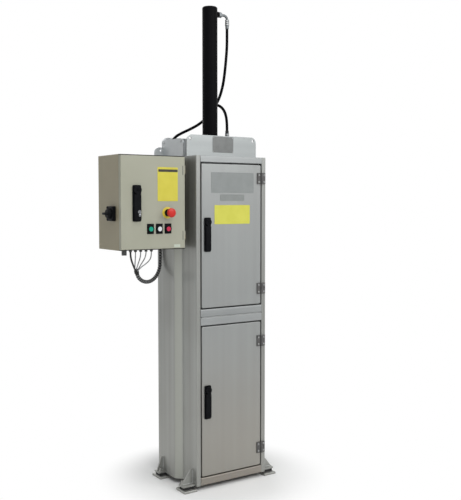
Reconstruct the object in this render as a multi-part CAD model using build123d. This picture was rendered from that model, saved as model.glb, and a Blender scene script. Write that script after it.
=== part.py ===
from build123d import *
import math
import os

os.makedirs("parts", exist_ok=True)

# Waste compactor for ships: a tall narrow press cabinet with two doors, a hydraulic cylinder on its roof
# and a control box on its left side. Millimetres, +Z up, front faces -Y, origin on the deck at the centre
# of the four deck bolts.

# Cabinet of folded sheet, narrow at the front and stepped out at 45 degrees behind it
frame_width = 370.0
frame_height = 1458.0
cabinet_depth = 303.0
deck_clearance = 22.0
sheet = 3.0
bend_radius = 4.0
side_step = 27.0
front_flat = 124.0
roof_thickness = 5.0
post_width = 22.0
rebate_depth = 24.0
seat_width = 18.0
rail_lip = 20.0
top_rail_height = 29.0
sill_rail_top = 786.0
sill_rail_height = 35.0
head_rail_height = 35.0
rail_seam = 2.0
bottom_rail_height = 34.0

# Roof collar of three plates, and the plate across the back that closes it and has an ear each side
collar_sheet = 5.0
collar_ram_gap = 105.0
collar_front_height = 96.0
collar_side_setback = 112.0
collar_side_height = 82.0
collar_corner_radius = 28.0
collar_hole_radius = 6.0
collar_hole_inset = 17.0
fixing_thickness = 6.0
fixing_height = 78.0
fixing_rise = 50.0
fixing_ear = 13.0
fixing_hole_radius = 4.5
fixing_hole_setin = 31.0
fixing_hole_drop = 14.0
fixing_corner_radius = 24.0

# Feet: base plate on the deck, rubber pad, welded bracket with one gusset, centre bolt
base_plate_width = 64.0
base_plate_depth = 78.0
base_plate_thickness = 10.0
base_plate_reach = 62.0
base_plate_chamfer = 2.5
deck_hole_radius = 5.5
deck_hole_inset = 9.0
pad_width = 48.0
pad_depth = 40.0
bracket_thickness = 8.0
bracket_depth = 42.0
gusset_thickness = 7.0
gusset_height = 62.0
gusset_top = 10.0
foot_bolt_radius = 5.0
foot_nut_radius = 8.5
foot_nut_height = 8.0
foot_bolt_stand = 8.0
foot_bolt_inset = 15.0
foot_bolt_offset = 12.0

# Doors: folded pans that sit flush in the rebate
door_gap = 5.5
door_depth = 20.0
door_sheet = 2.0
door_edge_radius = 3.0
door_corner_radius = 7.0
seal_width = 14.0
seal_clearance = 0.4

# Square screw hinges on the right-hand gap
hinge_height = 50.0
hinge_door_leaf = 24.0
hinge_frame_leaf = 20.0
hinge_leaf_thickness = 4.5
hinge_knuckle_radius = 6.0
hinge_pin_radius = 3.0
hinge_standoff = 0.4
hinge_knuckle_gap = 0.4
upper_hinge_insets = (60.5, 70.5)
lower_hinge_insets = (88.0, 82.0)

# Handles: base plate, turning spindle with a latch tongue, lever that lifts out of the base
door_handle_width = 33.0
door_handle_length = 150.0
door_handle_setin = 56.0
upper_hub_share = 0.597
lower_hub_share = 0.579
handle_head = 20.0
handle_base_thickness = 4.0
handle_corner_radius = 6.0
spindle_head_inset = 2.0
spindle_shaft_radius = 6.0
lever_thickness = 9.0
lever_side_inset = 3.0
lever_end_inset = 5.0
lever_tab_width = 12.0
lever_knuckle_radius = 4.2
lever_pivot_drop = 8.0
lever_trunnion_radius = 2.0
lever_trunnion_length = 4.0
tongue_thickness = 5.0
tongue_height = 20.0
tongue_tail = 9.0
tongue_clearance = 5.0
tongue_gap = 1.0

# Press: flanged cylinder on the roof, rod with piston, ribbed press plate
ram_rear_gap = 119.0
cylinder_rise = 688.0
cylinder_radius = 35.0
cylinder_bore_radius = 28.0
cylinder_cap = 22.0
cylinder_cap_chamfer = 4.0
flange_size = 120.0
flange_thickness = 18.0
flange_corner_radius = 10.0
rod_radius = 18.0
rod_hole_clearance = 12.0
piston_length = 40.0
piston_headroom = 6.0
press_drop = 35.0
press_width = 330.0
press_front_gap = 42.0
press_rear_gap = 10.0
press_thickness = 10.0
press_rib_height = 20.0
press_rib_thickness = 8.0
press_rib_spacing = 180.0
press_boss_radius = 32.0
port_boss_radius = 13.0
port_boss_length = 12.0
upper_port_drop = 28.0
lower_port_rise = 60.0
fitting_reach = 59.0
fitting_radius = 6.0
fitting_bend = 18.0
fitting_nut_radius = 13.0
fitting_nut_length = 14.0
ferrule_radius = 9.5
upper_ferrule_length = 46.0
lower_ferrule_length = 60.0
bulkhead_radius = 12.0
bulkhead_height = 16.0

# Control box on the left side
box_width = 305.0
box_height = 400.0
box_depth = 220.0
box_gap = 13.0
box_setback = 27.0
box_drop = 4.0
box_sheet = 2.0
box_rim = 14.0
box_door_depth = 19.0
box_door_gap = 1.5
box_door_side_gap = 0.6
box_door_reveal = 4.0
box_door_edge_radius = 2.5
box_hinge_radius = 4.6
box_hinge_length = 18.0
box_hinge_inset = 58.0
box_hinge_strap = 18.0
box_hinge_web = 5.0
box_pin_radius = 2.5
mount_rail_width = 25.0
mount_rail_inset = 24.0
mount_rail_wall = 3.0
mount_rail_places = (131.0, 180.0)
mounting_plate_standoff = 20.0
mounting_plate_sheet = 2.5
mounting_plate_inset = 22.0
mounting_pillar_radius = 7.0
din_rail_height = 35.0
din_rail_depth = 8.0
contactor_width = 45.0
contactor_height = 76.0
contactor_depth = 70.0
contactor_gap = 8.0
contactor_nose_share = 0.55

# Box handle, main switch, stop button, three push buttons, cable glands
box_handle_width = 39.0
box_handle_length = 152.0
box_handle_setin = 72.5
box_hub_rise = 253.0
switch_plate = 62.0
switch_plate_thickness = 14.0
switch_setback = 79.5
switch_rise = 154.0
switch_knob_radius = 22.0
switch_knob_thickness = 14.0
switch_bar_length = 36.0
switch_bar_width = 12.0
switch_bar_height = 14.0
switch_shaft_radius = 4.0
switch_shaft_length = 10.0
stop_setin = 217.5
stop_rise = 157.0
stop_disc_radius = 24.5
stop_disc_thickness = 2.5
stop_collar_radius = 15.0
stop_collar_length = 10.0
stop_head_radius = 20.0
stop_head_length = 18.0
stop_neck_length = 15.0
stop_profile_shares = ((0.5, 0), (0.82, 0.14), (1, 0.36), (1, 0.62), (0.84, 0.86), (0.5, 1), (0, 1))
stop_stem_radius = 8.0
stop_stem_length = 30.0
barrel_radius = 11.0
barrel_length = 34.0
button_setins = (136.0, 178.0, 220.0)
button_rise = 88.5
legend_width = 32.0
legend_height = 43.0
legend_lift = 1.0
legend_thickness = 1.6
bezel_radius = 14.5
bezel_height = 5.5
button_radius = 10.0
button_proud = 2.0
button_depth = 3.5
button_recess = 7.0
gland_setins = (211.0, 187.0, 162.0, 136.0, 110.0)
gland_setback = 105.5
gland_nut_radius = 9.0
gland_nut_height = 5.0
gland_neck_radius = 6.5
gland_neck_length = 8.0
gland_thread_radius = 6.0
plug_setin = 241.0
plug_radius = 11.0
plug_length = 26.0
elbow_socket_radius = 10.5
elbow_socket_length = 30.0
elbow_arm_radius = 9.0

# Fits shared by every moving or seated piece
running_clearance = 0.05
free_clearance = 0.3
overrun = 5.0

# Hoses, cables and the corrugated conduit, routes chosen by hand: the hoses from the ram's axis on the roof,
# the cables and the conduit from the control box's lower right front corner
cord_sides = 8
hose_diameter = 13.0
thick_cable_diameter = 8.0
thin_cable_diameter = 5.0
conduit_diameter = 18.0
bend_share = 0.45
upper_hose_route = [
    (94.0, 0.0, 614.0), (94.0, 0.0, 568.0), (92.0, -2.5, 516.0), (84.5, -5.5, 454.0),
    (75.0, -8.5, 390.0), (66.0, -6.5, 332.0), (59.0, 17.5, 272.0), (37.0, 54.5, 214.0),
    (-6.0, 69.5, 167.0), (-58.0, 76.5, 138.0), (-106.0, 77.5, 117.0), (-143.0, 75.5, 97.0),
    (-162.0, 69.5, 72.0), (-167.0, 64.5, 46.0), (-167.0, 64.5, 28.0),
]
lower_hose_route = [
    (94.0, 0.0, 120.0), (94.0, 0.0, 148.0), (93.2, 1.1, 176.0), (90.9, 4.5, 203.0),
    (85.2, 12.7, 228.0), (74.6, 27.9, 247.5), (59.4, 49.8, 256.5), (43.2, 73.1, 252.5),
    (30.1, 91.5, 236.0), (22.9, 101.3, 211.0), (20.4, 104.7, 183.0), (20.8, 104.4, 148.0),
    (20.8, 104.4, 112.0), (20.3, 103.9, 76.0), (20.3, 103.9, 40.0),
]
conduit_route = [
    (-180.0, 112.5, -93.0), (-170.0, 124.5, -119.0), (-143.0, 141.5, -142.0), (-105.0, 162.5, -154.0),
    (-63.0, 186.5, -150.0), (-28.0, 207.5, -130.0), (-6.0, 222.5, -98.0), (1.0, 230.5, -60.0),
    (2.0, 232.5, -26.0), (2.0, 232.5, 4.0),
]
cable_routes = [
    [(-211.0, 105.5, -13.0), (-211.0, 105.5, -35.0), (-199.0, 107.5, -68.0), (-184.0, 111.5, -96.0)],
    [(-187.0, 105.5, -13.0), (-187.0, 105.5, -35.0), (-188.0, 109.5, -67.0), (-184.5, 119.0, -97.0)],
    [(-162.0, 105.5, -13.0), (-162.0, 105.5, -34.0), (-173.0, 109.5, -66.0), (-179.5, 117.5, -96.0)],
    [(-136.0, 105.5, -13.0), (-136.0, 105.5, -34.0), (-159.0, 108.5, -68.0), (-177.0, 112.0, -97.0)],
    [
        (-110.0, 105.5, -13.0), (-110.0, 105.5, -33.0), (-118.0, 106.0, -52.0),
        (-139.0, 106.0, -68.0), (-162.0, 104.0, -80.0), (-178.5, 106.0, -97.0),
    ],
]

# Faces and corners of the cabinet
front = -cabinet_depth / 2
rear = cabinet_depth / 2
base = deck_clearance
top = base + frame_height
half_width = frame_width / 2
rear_half_width = half_width + side_step
opening_half = half_width - post_width
step_start = front + front_flat
step_end = step_start + side_step
ram_y = rear - ram_rear_gap
down = (0, 0, -1)
up = (0, 0, 1)
outward = (0, -1, 0)
inward = (0, 1, 0)
leftward = (-1, 0, 0)
rightward = (1, 0, 0)


def save(name, *solids):
    """Write one named piece, or one group of like pieces."""
    shape = solids[0] if len(solids) == 1 else Compound(children=list(solids))
    export_step(shape, f"parts/{name}.step")


def block(low, high):
    """A box between two opposite corners."""
    size = [b - a for a, b in zip(low, high)]
    middle = [(a + b) / 2 for a, b in zip(low, high)]
    return Pos(*middle) * Box(*size)


def round_bar(start, direction, radius, length):
    """A cylinder that starts at a point and runs along a direction."""
    seat = Plane(origin=start, z_dir=direction)
    return seat * Cylinder(radius, length, align=(Align.CENTER, Align.CENTER, Align.MIN))


def hex_bar(start, direction, radius, length):
    """A hexagonal bar that starts at a point and runs along a direction."""
    return extrude(Plane(origin=start, z_dir=direction) * RegularPolygon(radius, 6), length)


def face_plane(x, y, z):
    """A plane that faces the front, with X to the right and Z up."""
    return Plane(origin=(x, y, z), x_dir=(1, 0, 0), z_dir=outward)


def side_plane(x, y, z):
    """A plane that faces left, with Y as its x and Z up."""
    return Plane(origin=(x, y, z), x_dir=(0, 1, 0), z_dir=rightward)


def folded(points, side):
    """The section of a folded sheet, from the points of its outer line."""
    line = FilletPolyline(*points, radius=bend_radius)
    return make_face(offset(line, amount=sheet, side=side))


# Side walls: one folded sheet each, from the door seat round the front post to the rear edge
wall_line = [
    (-opening_half + seat_width, front + rebate_depth),
    (-opening_half, front + rebate_depth),
    (-opening_half, front),
    (-half_width, front),
    (-half_width, step_start),
    (-rear_half_width, step_end),
    (-rear_half_width, rear),
]
left_side_wall = extrude(Pos(0, 0, base) * folded(wall_line, Side.RIGHT), frame_height)
right_side_wall = mirror(left_side_wall, Plane.YZ)
save("left_side_wall", left_side_wall)
save("right_side_wall", right_side_wall)
rear_wall = block(
    (-rear_half_width + sheet, rear - sheet, base), (rear_half_width - sheet, rear, top)
)
save("rear_wall", rear_wall)


def rail(face_low, face_high, seat_up):
    """A folded rail between the posts, with its door seat above or below the face."""
    seat_edge, lip_edge = (face_high, face_low) if seat_up else (face_low, face_high)
    seat_end = seat_edge + seat_width if seat_up else seat_edge - seat_width
    line = [
        (front + rebate_depth, seat_end),
        (front + rebate_depth, seat_edge),
        (front, seat_edge),
        (front, lip_edge),
        (front + rail_lip, lip_edge),
    ]
    section = Plane.YZ * folded(line, Side.LEFT if seat_up else Side.RIGHT)
    bar = extrude(section, opening_half, both=True)
    coped = bar - left_side_wall - right_side_wall
    return coped.solids().sort_by(SortBy.VOLUME)[-1]


sill_top = base + sill_rail_top
sill_low = sill_top - sill_rail_height
head_top = sill_low - rail_seam
head_low = head_top - head_rail_height
floor_level = base + bottom_rail_height
top_rail_low = top - top_rail_height
save("top_rail", rail(top_rail_low, top, False))
save("upper_sill_rail", rail(sill_low, sill_top, True))
save("lower_head_rail", rail(head_low, head_top, False))
save("bottom_rail", rail(base, floor_level, True))


def plan_plate(low, high, start):
    """A level plate that fills the cabinet's plan between the walls."""
    edge = sheet / 2
    half_plan = [
        (0, start),
        (-half_width + edge, start),
        (-half_width + edge, step_start + edge),
        (-rear_half_width + edge, step_end + edge),
        (-rear_half_width + edge, rear - sheet),
        (0, rear - sheet),
    ]
    half_plate = extrude(Pos(0, 0, low) * make_face(Polyline(*half_plan, close=True)), high - low)
    half_plate = half_plate - left_side_wall
    return half_plate + mirror(half_plate, Plane.YZ)


passage_radius = rod_radius + rod_hole_clearance
rod_passage = round_bar((0, ram_y, top + overrun), down, passage_radius, roof_thickness + 2 * overrun)
save("roof_plate", plan_plate(top - roof_thickness, top, front + rail_lip) - rod_passage)
save("floor_plate", plan_plate(floor_level - sheet, floor_level, front + rebate_depth + sheet))


def collar_plate(width, height):
    """A plate with two rounded upper corners, each with a hole, standing on its lower edge."""
    face = Pos(0, height / 2) * Rectangle(width, height)
    face = fillet(face.vertices().group_by(Axis.Y)[-1], collar_corner_radius)
    hole_x = width / 2 - collar_hole_inset
    hole_y = height - collar_hole_inset
    return face - [Pos(side * hole_x, hole_y) * Circle(collar_hole_radius) for side in (-1, 1)]


# Roof collar: upright plates round the foot of the cylinder
collar_front = face_plane(0, ram_y - collar_ram_gap, top)
collar_front_face = collar_front * collar_plate(frame_width, collar_front_height)
save("collar_front_plate", extrude(collar_front_face, -collar_sheet))
collar_side_depth = cabinet_depth - collar_side_setback
collar_side_middle = rear - collar_side_depth / 2
collar_side = side_plane(-half_width, collar_side_middle, top)
collar_side_face = collar_side * collar_plate(collar_side_depth, collar_side_height)
collar_left_plate = extrude(collar_side_face, collar_sheet)
save("collar_left_plate", collar_left_plate)
save("collar_right_plate", mirror(collar_left_plate, Plane.YZ))

# Rear fixing plate: a flat plate across the back, raised in the middle as the collar's fourth side, with an
# ear and a hole past each side
fixing_half = rear_half_width + fixing_ear
fixing_hole_x = fixing_half - fixing_hole_setin
fixing_middle = top + fixing_rise - fixing_height / 2
fixing_face = RectangleRounded(2 * fixing_half, fixing_height, fixing_corner_radius)
raised_face = Pos(0, collar_front_height / 2) * Rectangle(frame_width, collar_front_height)
raised_face = fillet(raised_face.vertices().group_by(Axis.Y)[-1], collar_corner_radius)
fixing_face += Pos(0, top - fixing_middle) * raised_face
fixing_hole_z = fixing_height / 2 - fixing_hole_drop
fixing_face -= [Pos(side * fixing_hole_x, fixing_hole_z) * Circle(fixing_hole_radius) for side in (-1, 1)]
save("rear_fixing_plate", extrude(face_plane(0, rear, fixing_middle) * fixing_face, -fixing_thickness))


# Feet: modelled at the front left or rear left and mirrored to the right
plate_outer = half_width + base_plate_reach
plate_middle_x = -(plate_outer - base_plate_width / 2)
plate_middle_y = rear - base_plate_depth / 2
deck_hole_y = rear - deck_hole_inset
pad_height = deck_clearance - base_plate_thickness
bracket_top = base + bracket_thickness


def foot(end):
    """Bracket, pad, base plate and bolt of a left foot: end is -1 at the front and 1 at the rear."""
    wall_x = -half_width if end < 0 else -rear_half_width
    middle_y = end * plate_middle_y
    outer_x = -plate_outer + base_plate_chamfer
    plate = Pos(plate_middle_x, middle_y, base_plate_thickness / 2) * Box(
        base_plate_width, base_plate_depth, base_plate_thickness
    )
    plate = chamfer(plate.faces().sort_by(Axis.Z)[-1].edges(), base_plate_chamfer)
    hole_start = (plate_middle_x, end * deck_hole_y, -overrun)
    plate -= round_bar(hole_start, up, deck_hole_radius, base_plate_thickness + 2 * overrun)
    bolt_x = -plate_outer + foot_bolt_inset
    bolt_y = middle_y - end * foot_bolt_offset
    bolt_hole = round_bar((bolt_x, bolt_y, 0), up, foot_bolt_radius + free_clearance, bracket_top + overrun)
    pad_place = Pos(plate_middle_x, middle_y, base_plate_thickness + pad_height / 2)
    pad = pad_place * Box(pad_width, pad_depth, pad_height)
    shelf = block(
        (outer_x, middle_y - bracket_depth / 2, base), (wall_x, middle_y + bracket_depth / 2, bracket_top)
    )
    gusset_line = [
        (wall_x, bracket_top),
        (wall_x, bracket_top + gusset_height),
        (wall_x - gusset_top, bracket_top + gusset_height),
        (outer_x, bracket_top),
    ]
    gusset_plane = face_plane(0, middle_y - gusset_thickness / 2, 0)
    gusset_face = gusset_plane * make_face(Polyline(*gusset_line, close=True))
    bracket = shelf + extrude(gusset_face, -gusset_thickness)
    bolt_length = bracket_top + foot_nut_height + foot_bolt_stand - base_plate_thickness
    bolt = round_bar((bolt_x, bolt_y, base_plate_thickness), up, foot_bolt_radius, bolt_length)
    bolt += hex_bar((bolt_x, bolt_y, bracket_top), up, foot_nut_radius, foot_nut_height)
    return bracket - bolt_hole, pad - bolt_hole, plate, bolt


left_feet = [foot(-1), foot(1)]
foot_names = ("foot_brackets", "foot_pads", "foot_base_plates", "foot_bolts")
for place, name in enumerate(foot_names):
    left_pieces = [pieces[place] for pieces in left_feet]
    save(name, *left_pieces, *[mirror(piece, Plane.YZ) for piece in left_pieces])


# Doors: a folded pan each, open at the back, with a hole for the handle spindle
door_half = opening_half - door_gap
hub_x = -half_width + door_handle_setin
upper_door_low = sill_top + door_gap
upper_door_high = top_rail_low - door_gap
lower_door_low = floor_level + door_gap
lower_door_high = head_low - door_gap
upper_hub = upper_door_low + upper_hub_share * (upper_door_high - upper_door_low)
lower_hub = lower_door_low + lower_hub_share * (lower_door_high - lower_door_low)


def door_pan(low, high, hub_z):
    """A door between two heights, with rounded corners and rounded front edges."""
    height = high - low
    outline = RectangleRounded(2 * door_half, height, door_corner_radius)
    inner = RectangleRounded(
        2 * (door_half - door_sheet), height - 2 * door_sheet, door_corner_radius - door_sheet
    )
    middle = (high + low) / 2
    pan = extrude(face_plane(0, front, middle) * outline, -door_depth)
    pan = fillet(pan.faces().sort_by(Axis.Y)[0].edges(), door_edge_radius)
    pan -= extrude(face_plane(0, front + door_sheet, middle) * inner, -door_depth)
    hole_length = door_sheet + 2 * overrun
    hole_radius = spindle_shaft_radius + free_clearance
    return pan - round_bar((hub_x, front - overrun, hub_z), inward, hole_radius, hole_length)


def door_seal(low, high):
    """The rubber frame on the rebate's seat, just clear of the closed door."""
    width = 2 * opening_half - 2 * door_gap
    height = high - low - 2 * door_gap
    outer = Rectangle(width, height)
    inner = Rectangle(width - 2 * seal_width, height - 2 * seal_width)
    thickness = rebate_depth - door_depth - seal_clearance
    seat = face_plane(0, front + rebate_depth, (low + high) / 2)
    return extrude(seat * (outer - inner), thickness)


save("upper_door", door_pan(upper_door_low, upper_door_high, upper_hub))
save("lower_door", door_pan(lower_door_low, lower_door_high, lower_hub))
save("upper_door_seal", door_seal(sill_top, top_rail_low))
save("lower_door_seal", door_seal(floor_level, head_low))

# Screw hinges: a frame leaf with two end knuckles, a door leaf with the middle knuckle, a pin
hinge_x = opening_half - door_gap / 2
hinge_y = front - hinge_standoff - hinge_knuckle_radius
knuckle_length = hinge_height / 3


def hinge_leaf(side, reach, middle_z, knuckles):
    """A flat leaf on the front, with its share of the knuckles on the hinge line."""
    inner_x = hinge_x + side * (hinge_knuckle_radius + free_clearance)
    outer_x = hinge_x + side * reach
    low = min(inner_x, outer_x)
    high = max(inner_x, outer_x)
    leaf = block(
        (low, front - hinge_leaf_thickness, middle_z - hinge_height / 2),
        (high, front, middle_z + hinge_height / 2),
    )
    for step in knuckles:
        start = middle_z - hinge_height / 2 + step * knuckle_length + hinge_knuckle_gap / 2
        length = knuckle_length - hinge_knuckle_gap
        leaf += round_bar((hinge_x, hinge_y, start), up, hinge_knuckle_radius, length)
        leaf += block(
            (min(hinge_x, inner_x), hinge_y, start),
            (max(hinge_x, inner_x), front - hinge_standoff, start + length),
        )
    bore_start = middle_z - hinge_height / 2 - overrun
    return leaf - round_bar(
        (hinge_x, hinge_y, bore_start), up, hinge_pin_radius + running_clearance, hinge_height + 2 * overrun
    )


upper_hinges = [upper_door_high - upper_hinge_insets[0], upper_door_low + upper_hinge_insets[1]]
lower_hinges = [lower_door_high - lower_hinge_insets[0], lower_door_low + lower_hinge_insets[1]]
hinge_middles = upper_hinges + lower_hinges
save("frame_hinge_leaves", *[hinge_leaf(1, hinge_frame_leaf, z, (0, 2)) for z in hinge_middles])
save("upper_door_hinge_leaves", *[hinge_leaf(-1, hinge_door_leaf, z, (1,)) for z in upper_hinges])
save("lower_door_hinge_leaves", *[hinge_leaf(-1, hinge_door_leaf, z, (1,)) for z in lower_hinges])
pin_starts = [(hinge_x, hinge_y, z - hinge_height / 2) for z in hinge_middles]
save("hinge_pins", *[round_bar(start, up, hinge_pin_radius, hinge_height) for start in pin_starts])


def handle(name, hub, width, length, tongue_depth, tongue_reach):
    """A swing handle: base on the door, spindle through it, lever on the spindle's head."""
    hub_x, face_y, hub_z = hub
    base_face_y = face_y - handle_base_thickness
    base_plane = face_plane(hub_x, face_y, hub_z + handle_head - length / 2)
    base_face = RectangleRounded(width, length, handle_corner_radius)
    plate = extrude(base_plane * base_face, handle_base_thickness)
    hole_radius = spindle_shaft_radius + free_clearance
    hole_length = handle_base_thickness + 2 * overrun
    shaft_hole = round_bar((hub_x, face_y + overrun, hub_z), outward, hole_radius, hole_length)
    save(f"{name}_handle_base", plate - shaft_hole)

    # The lever turns on two trunnions between the ears of the spindle's head
    head_back = base_face_y - free_clearance
    head_radius = width / 2 - spindle_head_inset
    pivot_y = base_face_y - 2 * free_clearance - lever_thickness / 2
    head_front = pivot_y - lever_thickness / 2
    pivot_z = hub_z - lever_pivot_drop
    slot_half = lever_tab_width / 2 + free_clearance
    trunnion_half = lever_tab_width / 2 + lever_trunnion_length
    spindle = round_bar((hub_x, head_back, hub_z), outward, head_radius, head_back - head_front)
    spindle -= block(
        (hub_x - slot_half, head_front - overrun, hub_z - head_radius - overrun),
        (hub_x + slot_half, head_back + overrun, pivot_z + lever_knuckle_radius + 2 * free_clearance),
    )
    spindle -= round_bar(
        (hub_x - trunnion_half - free_clearance, pivot_y, pivot_z),
        rightward,
        lever_trunnion_radius + running_clearance,
        2 * (trunnion_half + free_clearance),
    )
    tongue_y = face_y + tongue_depth
    spindle += round_bar((hub_x, head_back, hub_z), inward, spindle_shaft_radius, tongue_y - head_back)
    spindle += block(
        (hub_x - tongue_reach, tongue_y, hub_z - tongue_height / 2),
        (hub_x + tongue_tail, tongue_y + tongue_thickness, hub_z + tongue_height / 2),
    )
    save(f"{name}_handle_spindle", spindle)

    lever_low = hub_z + handle_head - length + lever_end_inset
    shoulder_drop = math.hypot(head_radius - lever_pivot_drop, pivot_y - head_front) + 2 * free_clearance
    lever_high = pivot_z - shoulder_drop
    lever_width = width - 2 * lever_side_inset
    grip_plane = face_plane(hub_x, pivot_y + lever_thickness / 2, (lever_low + lever_high) / 2)
    grip_face = RectangleRounded(lever_width, lever_high - lever_low, handle_corner_radius)
    grip = extrude(grip_plane * grip_face, lever_thickness)
    grip = chamfer(grip.faces().sort_by(Axis.Y)[0].edges(), lever_thickness / 4)
    tab = block(
        (hub_x - lever_tab_width / 2, pivot_y - lever_knuckle_radius, lever_high - lever_knuckle_radius),
        (hub_x + lever_tab_width / 2, pivot_y + lever_knuckle_radius, pivot_z),
    )
    tab_start = (hub_x - lever_tab_width / 2, pivot_y, pivot_z)
    knuckle = round_bar(tab_start, rightward, lever_knuckle_radius, lever_tab_width)
    trunnion_start = (hub_x - trunnion_half, pivot_y, pivot_z)
    trunnions = round_bar(trunnion_start, rightward, lever_trunnion_radius, 2 * trunnion_half)
    save(f"{name}_handle_lever", grip + tab + knuckle + trunnions)


door_tongue_depth = rebate_depth + sheet + tongue_gap
door_tongue_reach = hub_x + opening_half - seat_width - tongue_clearance
for name, hub_z in (("upper", upper_hub), ("lower", lower_hub)):
    hub = (hub_x, front, hub_z)
    handle(name, hub, door_handle_width, door_handle_length, door_tongue_depth, door_tongue_reach)

# Cylinder: flange with the rod gland, barrel with closed top and two port bosses
cylinder_high = top + cylinder_rise
flange_top = top + flange_thickness
flange_face = RectangleRounded(flange_size, flange_size, flange_corner_radius)
flange = extrude(Plane(origin=(0, ram_y, top)) * flange_face, flange_thickness)
gland_radius = rod_radius + running_clearance
gland_bore = round_bar((0, ram_y, top - overrun), up, gland_radius, flange_thickness + 2 * overrun)
save("cylinder_flange", flange - gland_bore)

barrel = round_bar((0, ram_y, flange_top), up, cylinder_radius, cylinder_high - flange_top)
barrel = chamfer(barrel.edges().group_by(Axis.Z)[-1], cylinder_cap_chamfer)
upper_port = cylinder_high - upper_port_drop
lower_port = top + lower_port_rise
boss_reach = cylinder_radius + port_boss_length
for port in (upper_port, lower_port):
    barrel += round_bar((0, ram_y, port), rightward, port_boss_radius, boss_reach)
bore_top = cylinder_high - cylinder_cap
barrel -= round_bar((0, ram_y, flange_top), up, cylinder_bore_radius, bore_top - flange_top)
save("cylinder_barrel", barrel)

# Rod and piston, drawn up, and the press plate with ribs and a boss for the rod
press_top = top - roof_thickness - press_drop
rib_low = press_top - press_rib_height
press_low = rib_low - press_thickness
press_front = front + press_front_gap
press_rear = rear - sheet - press_rear_gap
piston_high = bore_top - piston_headroom
piston_low = piston_high - piston_length
piston_rod = round_bar((0, ram_y, press_top), up, rod_radius, piston_low - press_top)
piston_rod += round_bar((0, ram_y, piston_low), up, cylinder_bore_radius - running_clearance, piston_length)
save("piston_rod", piston_rod)

press_plate = block((-press_width / 2, press_front, press_low), (press_width / 2, press_rear, rib_low))
for rib_x in (-press_rib_spacing / 2, press_rib_spacing / 2):
    press_plate += block(
        (rib_x - press_rib_thickness / 2, press_front, rib_low),
        (rib_x + press_rib_thickness / 2, press_rear, press_top),
    )
press_plate += round_bar((0, ram_y, rib_low), up, press_boss_radius, press_rib_height)
save("press_plate", press_plate)

# Hose fittings: an elbow on each port and a bulkhead coupling for each hose on the roof
fitting_x = cylinder_radius + fitting_reach
roof_centre = (0, ram_y, top)


def port_elbow(port, turn, ferrule):
    """A nut on the port, a bent tube and the hose's ferrule: turn is 1 upward and -1 downward."""
    start = (boss_reach, ram_y, port)
    elbow = hex_bar(start, rightward, fitting_nut_radius, fitting_nut_length)
    corner = (fitting_x, ram_y, port)
    end = (fitting_x, ram_y, port + turn * 2 * fitting_bend)
    tube = FilletPolyline(start, corner, end, radius=fitting_bend)
    elbow += sweep(Plane(origin=start, z_dir=rightward) * Circle(fitting_radius), path=tube)
    sleeve_start = (fitting_x, ram_y, port + turn * fitting_bend)
    return elbow + round_bar(sleeve_start, (0, 0, turn), ferrule_radius, ferrule - fitting_bend)


def bulkhead(route):
    """A coupling that stands on the roof under the lower end of a hose."""
    end_x, end_y, end_z = Vector(*route[-1]) + Vector(*roof_centre)
    nut = hex_bar((end_x, end_y, top), up, bulkhead_radius, bulkhead_height)
    return nut + round_bar((end_x, end_y, top), up, ferrule_radius, end_z - top)


save(
    "hose_fittings",
    port_elbow(upper_port, -1, upper_ferrule_length),
    port_elbow(lower_port, 1, lower_ferrule_length),
    bulkhead(upper_hose_route),
    bulkhead(lower_hose_route),
)


def cord(name, route, origin, diameter):
    """A plain cord along straight runs and tangent arcs, each arc as large as its two runs allow."""
    points = [Vector(*origin) + Vector(*point) for point in route]
    runs = [b - a for a, b in zip(points, points[1:])]
    radii = []
    for before, after in zip(runs, runs[1:]):
        half_turn = math.radians(before.get_angle(after)) / 2
        radii.append(bend_share * min(before.length, after.length) / math.tan(half_turn))
    line = FilletPolyline(*points, radius=radii)
    section = Plane(origin=points[0], z_dir=runs[0]) * RegularPolygon(diameter / 2, cord_sides)
    body = sweep(section, path=line)
    print(name, "radii", [round(radius) for radius in radii], "length", round(line.length))
    print(name, "volume", round(body.volume), "section by length", round(section.area * line.length))
    return body


save("upper_hose", cord("upper_hose", upper_hose_route, roof_centre, hose_diameter))
save("lower_hose", cord("lower_hose", lower_hose_route, roof_centre, hose_diameter))

# Control box body: a tub with a rim round its open front
box_right = -rear_half_width - box_gap
box_left = box_right - box_width
box_high = top - box_drop
box_low = box_high - box_height
box_front = front + box_setback
box_rear = box_front + box_depth
box_corner = (box_right, box_front, box_low)
body_front = box_front + box_door_depth + box_door_gap
box_body = block((box_left, body_front, box_low), (box_right, box_rear, box_high))
box_body -= block(
    (box_left + box_sheet, body_front + box_sheet, box_low + box_sheet),
    (box_right - box_sheet, box_rear - box_sheet, box_high - box_sheet),
)
box_body -= block(
    (box_left + box_rim, body_front - overrun, box_low + box_rim),
    (box_right - box_rim, body_front + overrun, box_high - box_rim),
)
gland_y = box_front + gland_setback
gland_places = [(box_right - setin, gland_y) for setin in gland_setins]
plug_place = (box_right - plug_setin, gland_y)
gland_hole_radius = gland_thread_radius + free_clearance
for place_x, place_y in (*gland_places, plug_place):
    box_body -= round_bar((place_x, place_y, box_low - overrun), up, gland_hole_radius, 2 * overrun)
switch_y = box_front + switch_setback
switch_z = box_low + switch_rise
switch_hole_radius = switch_shaft_radius + free_clearance
box_body -= round_bar((box_left - overrun, switch_y, switch_z), rightward, switch_hole_radius, 2 * overrun)

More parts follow.
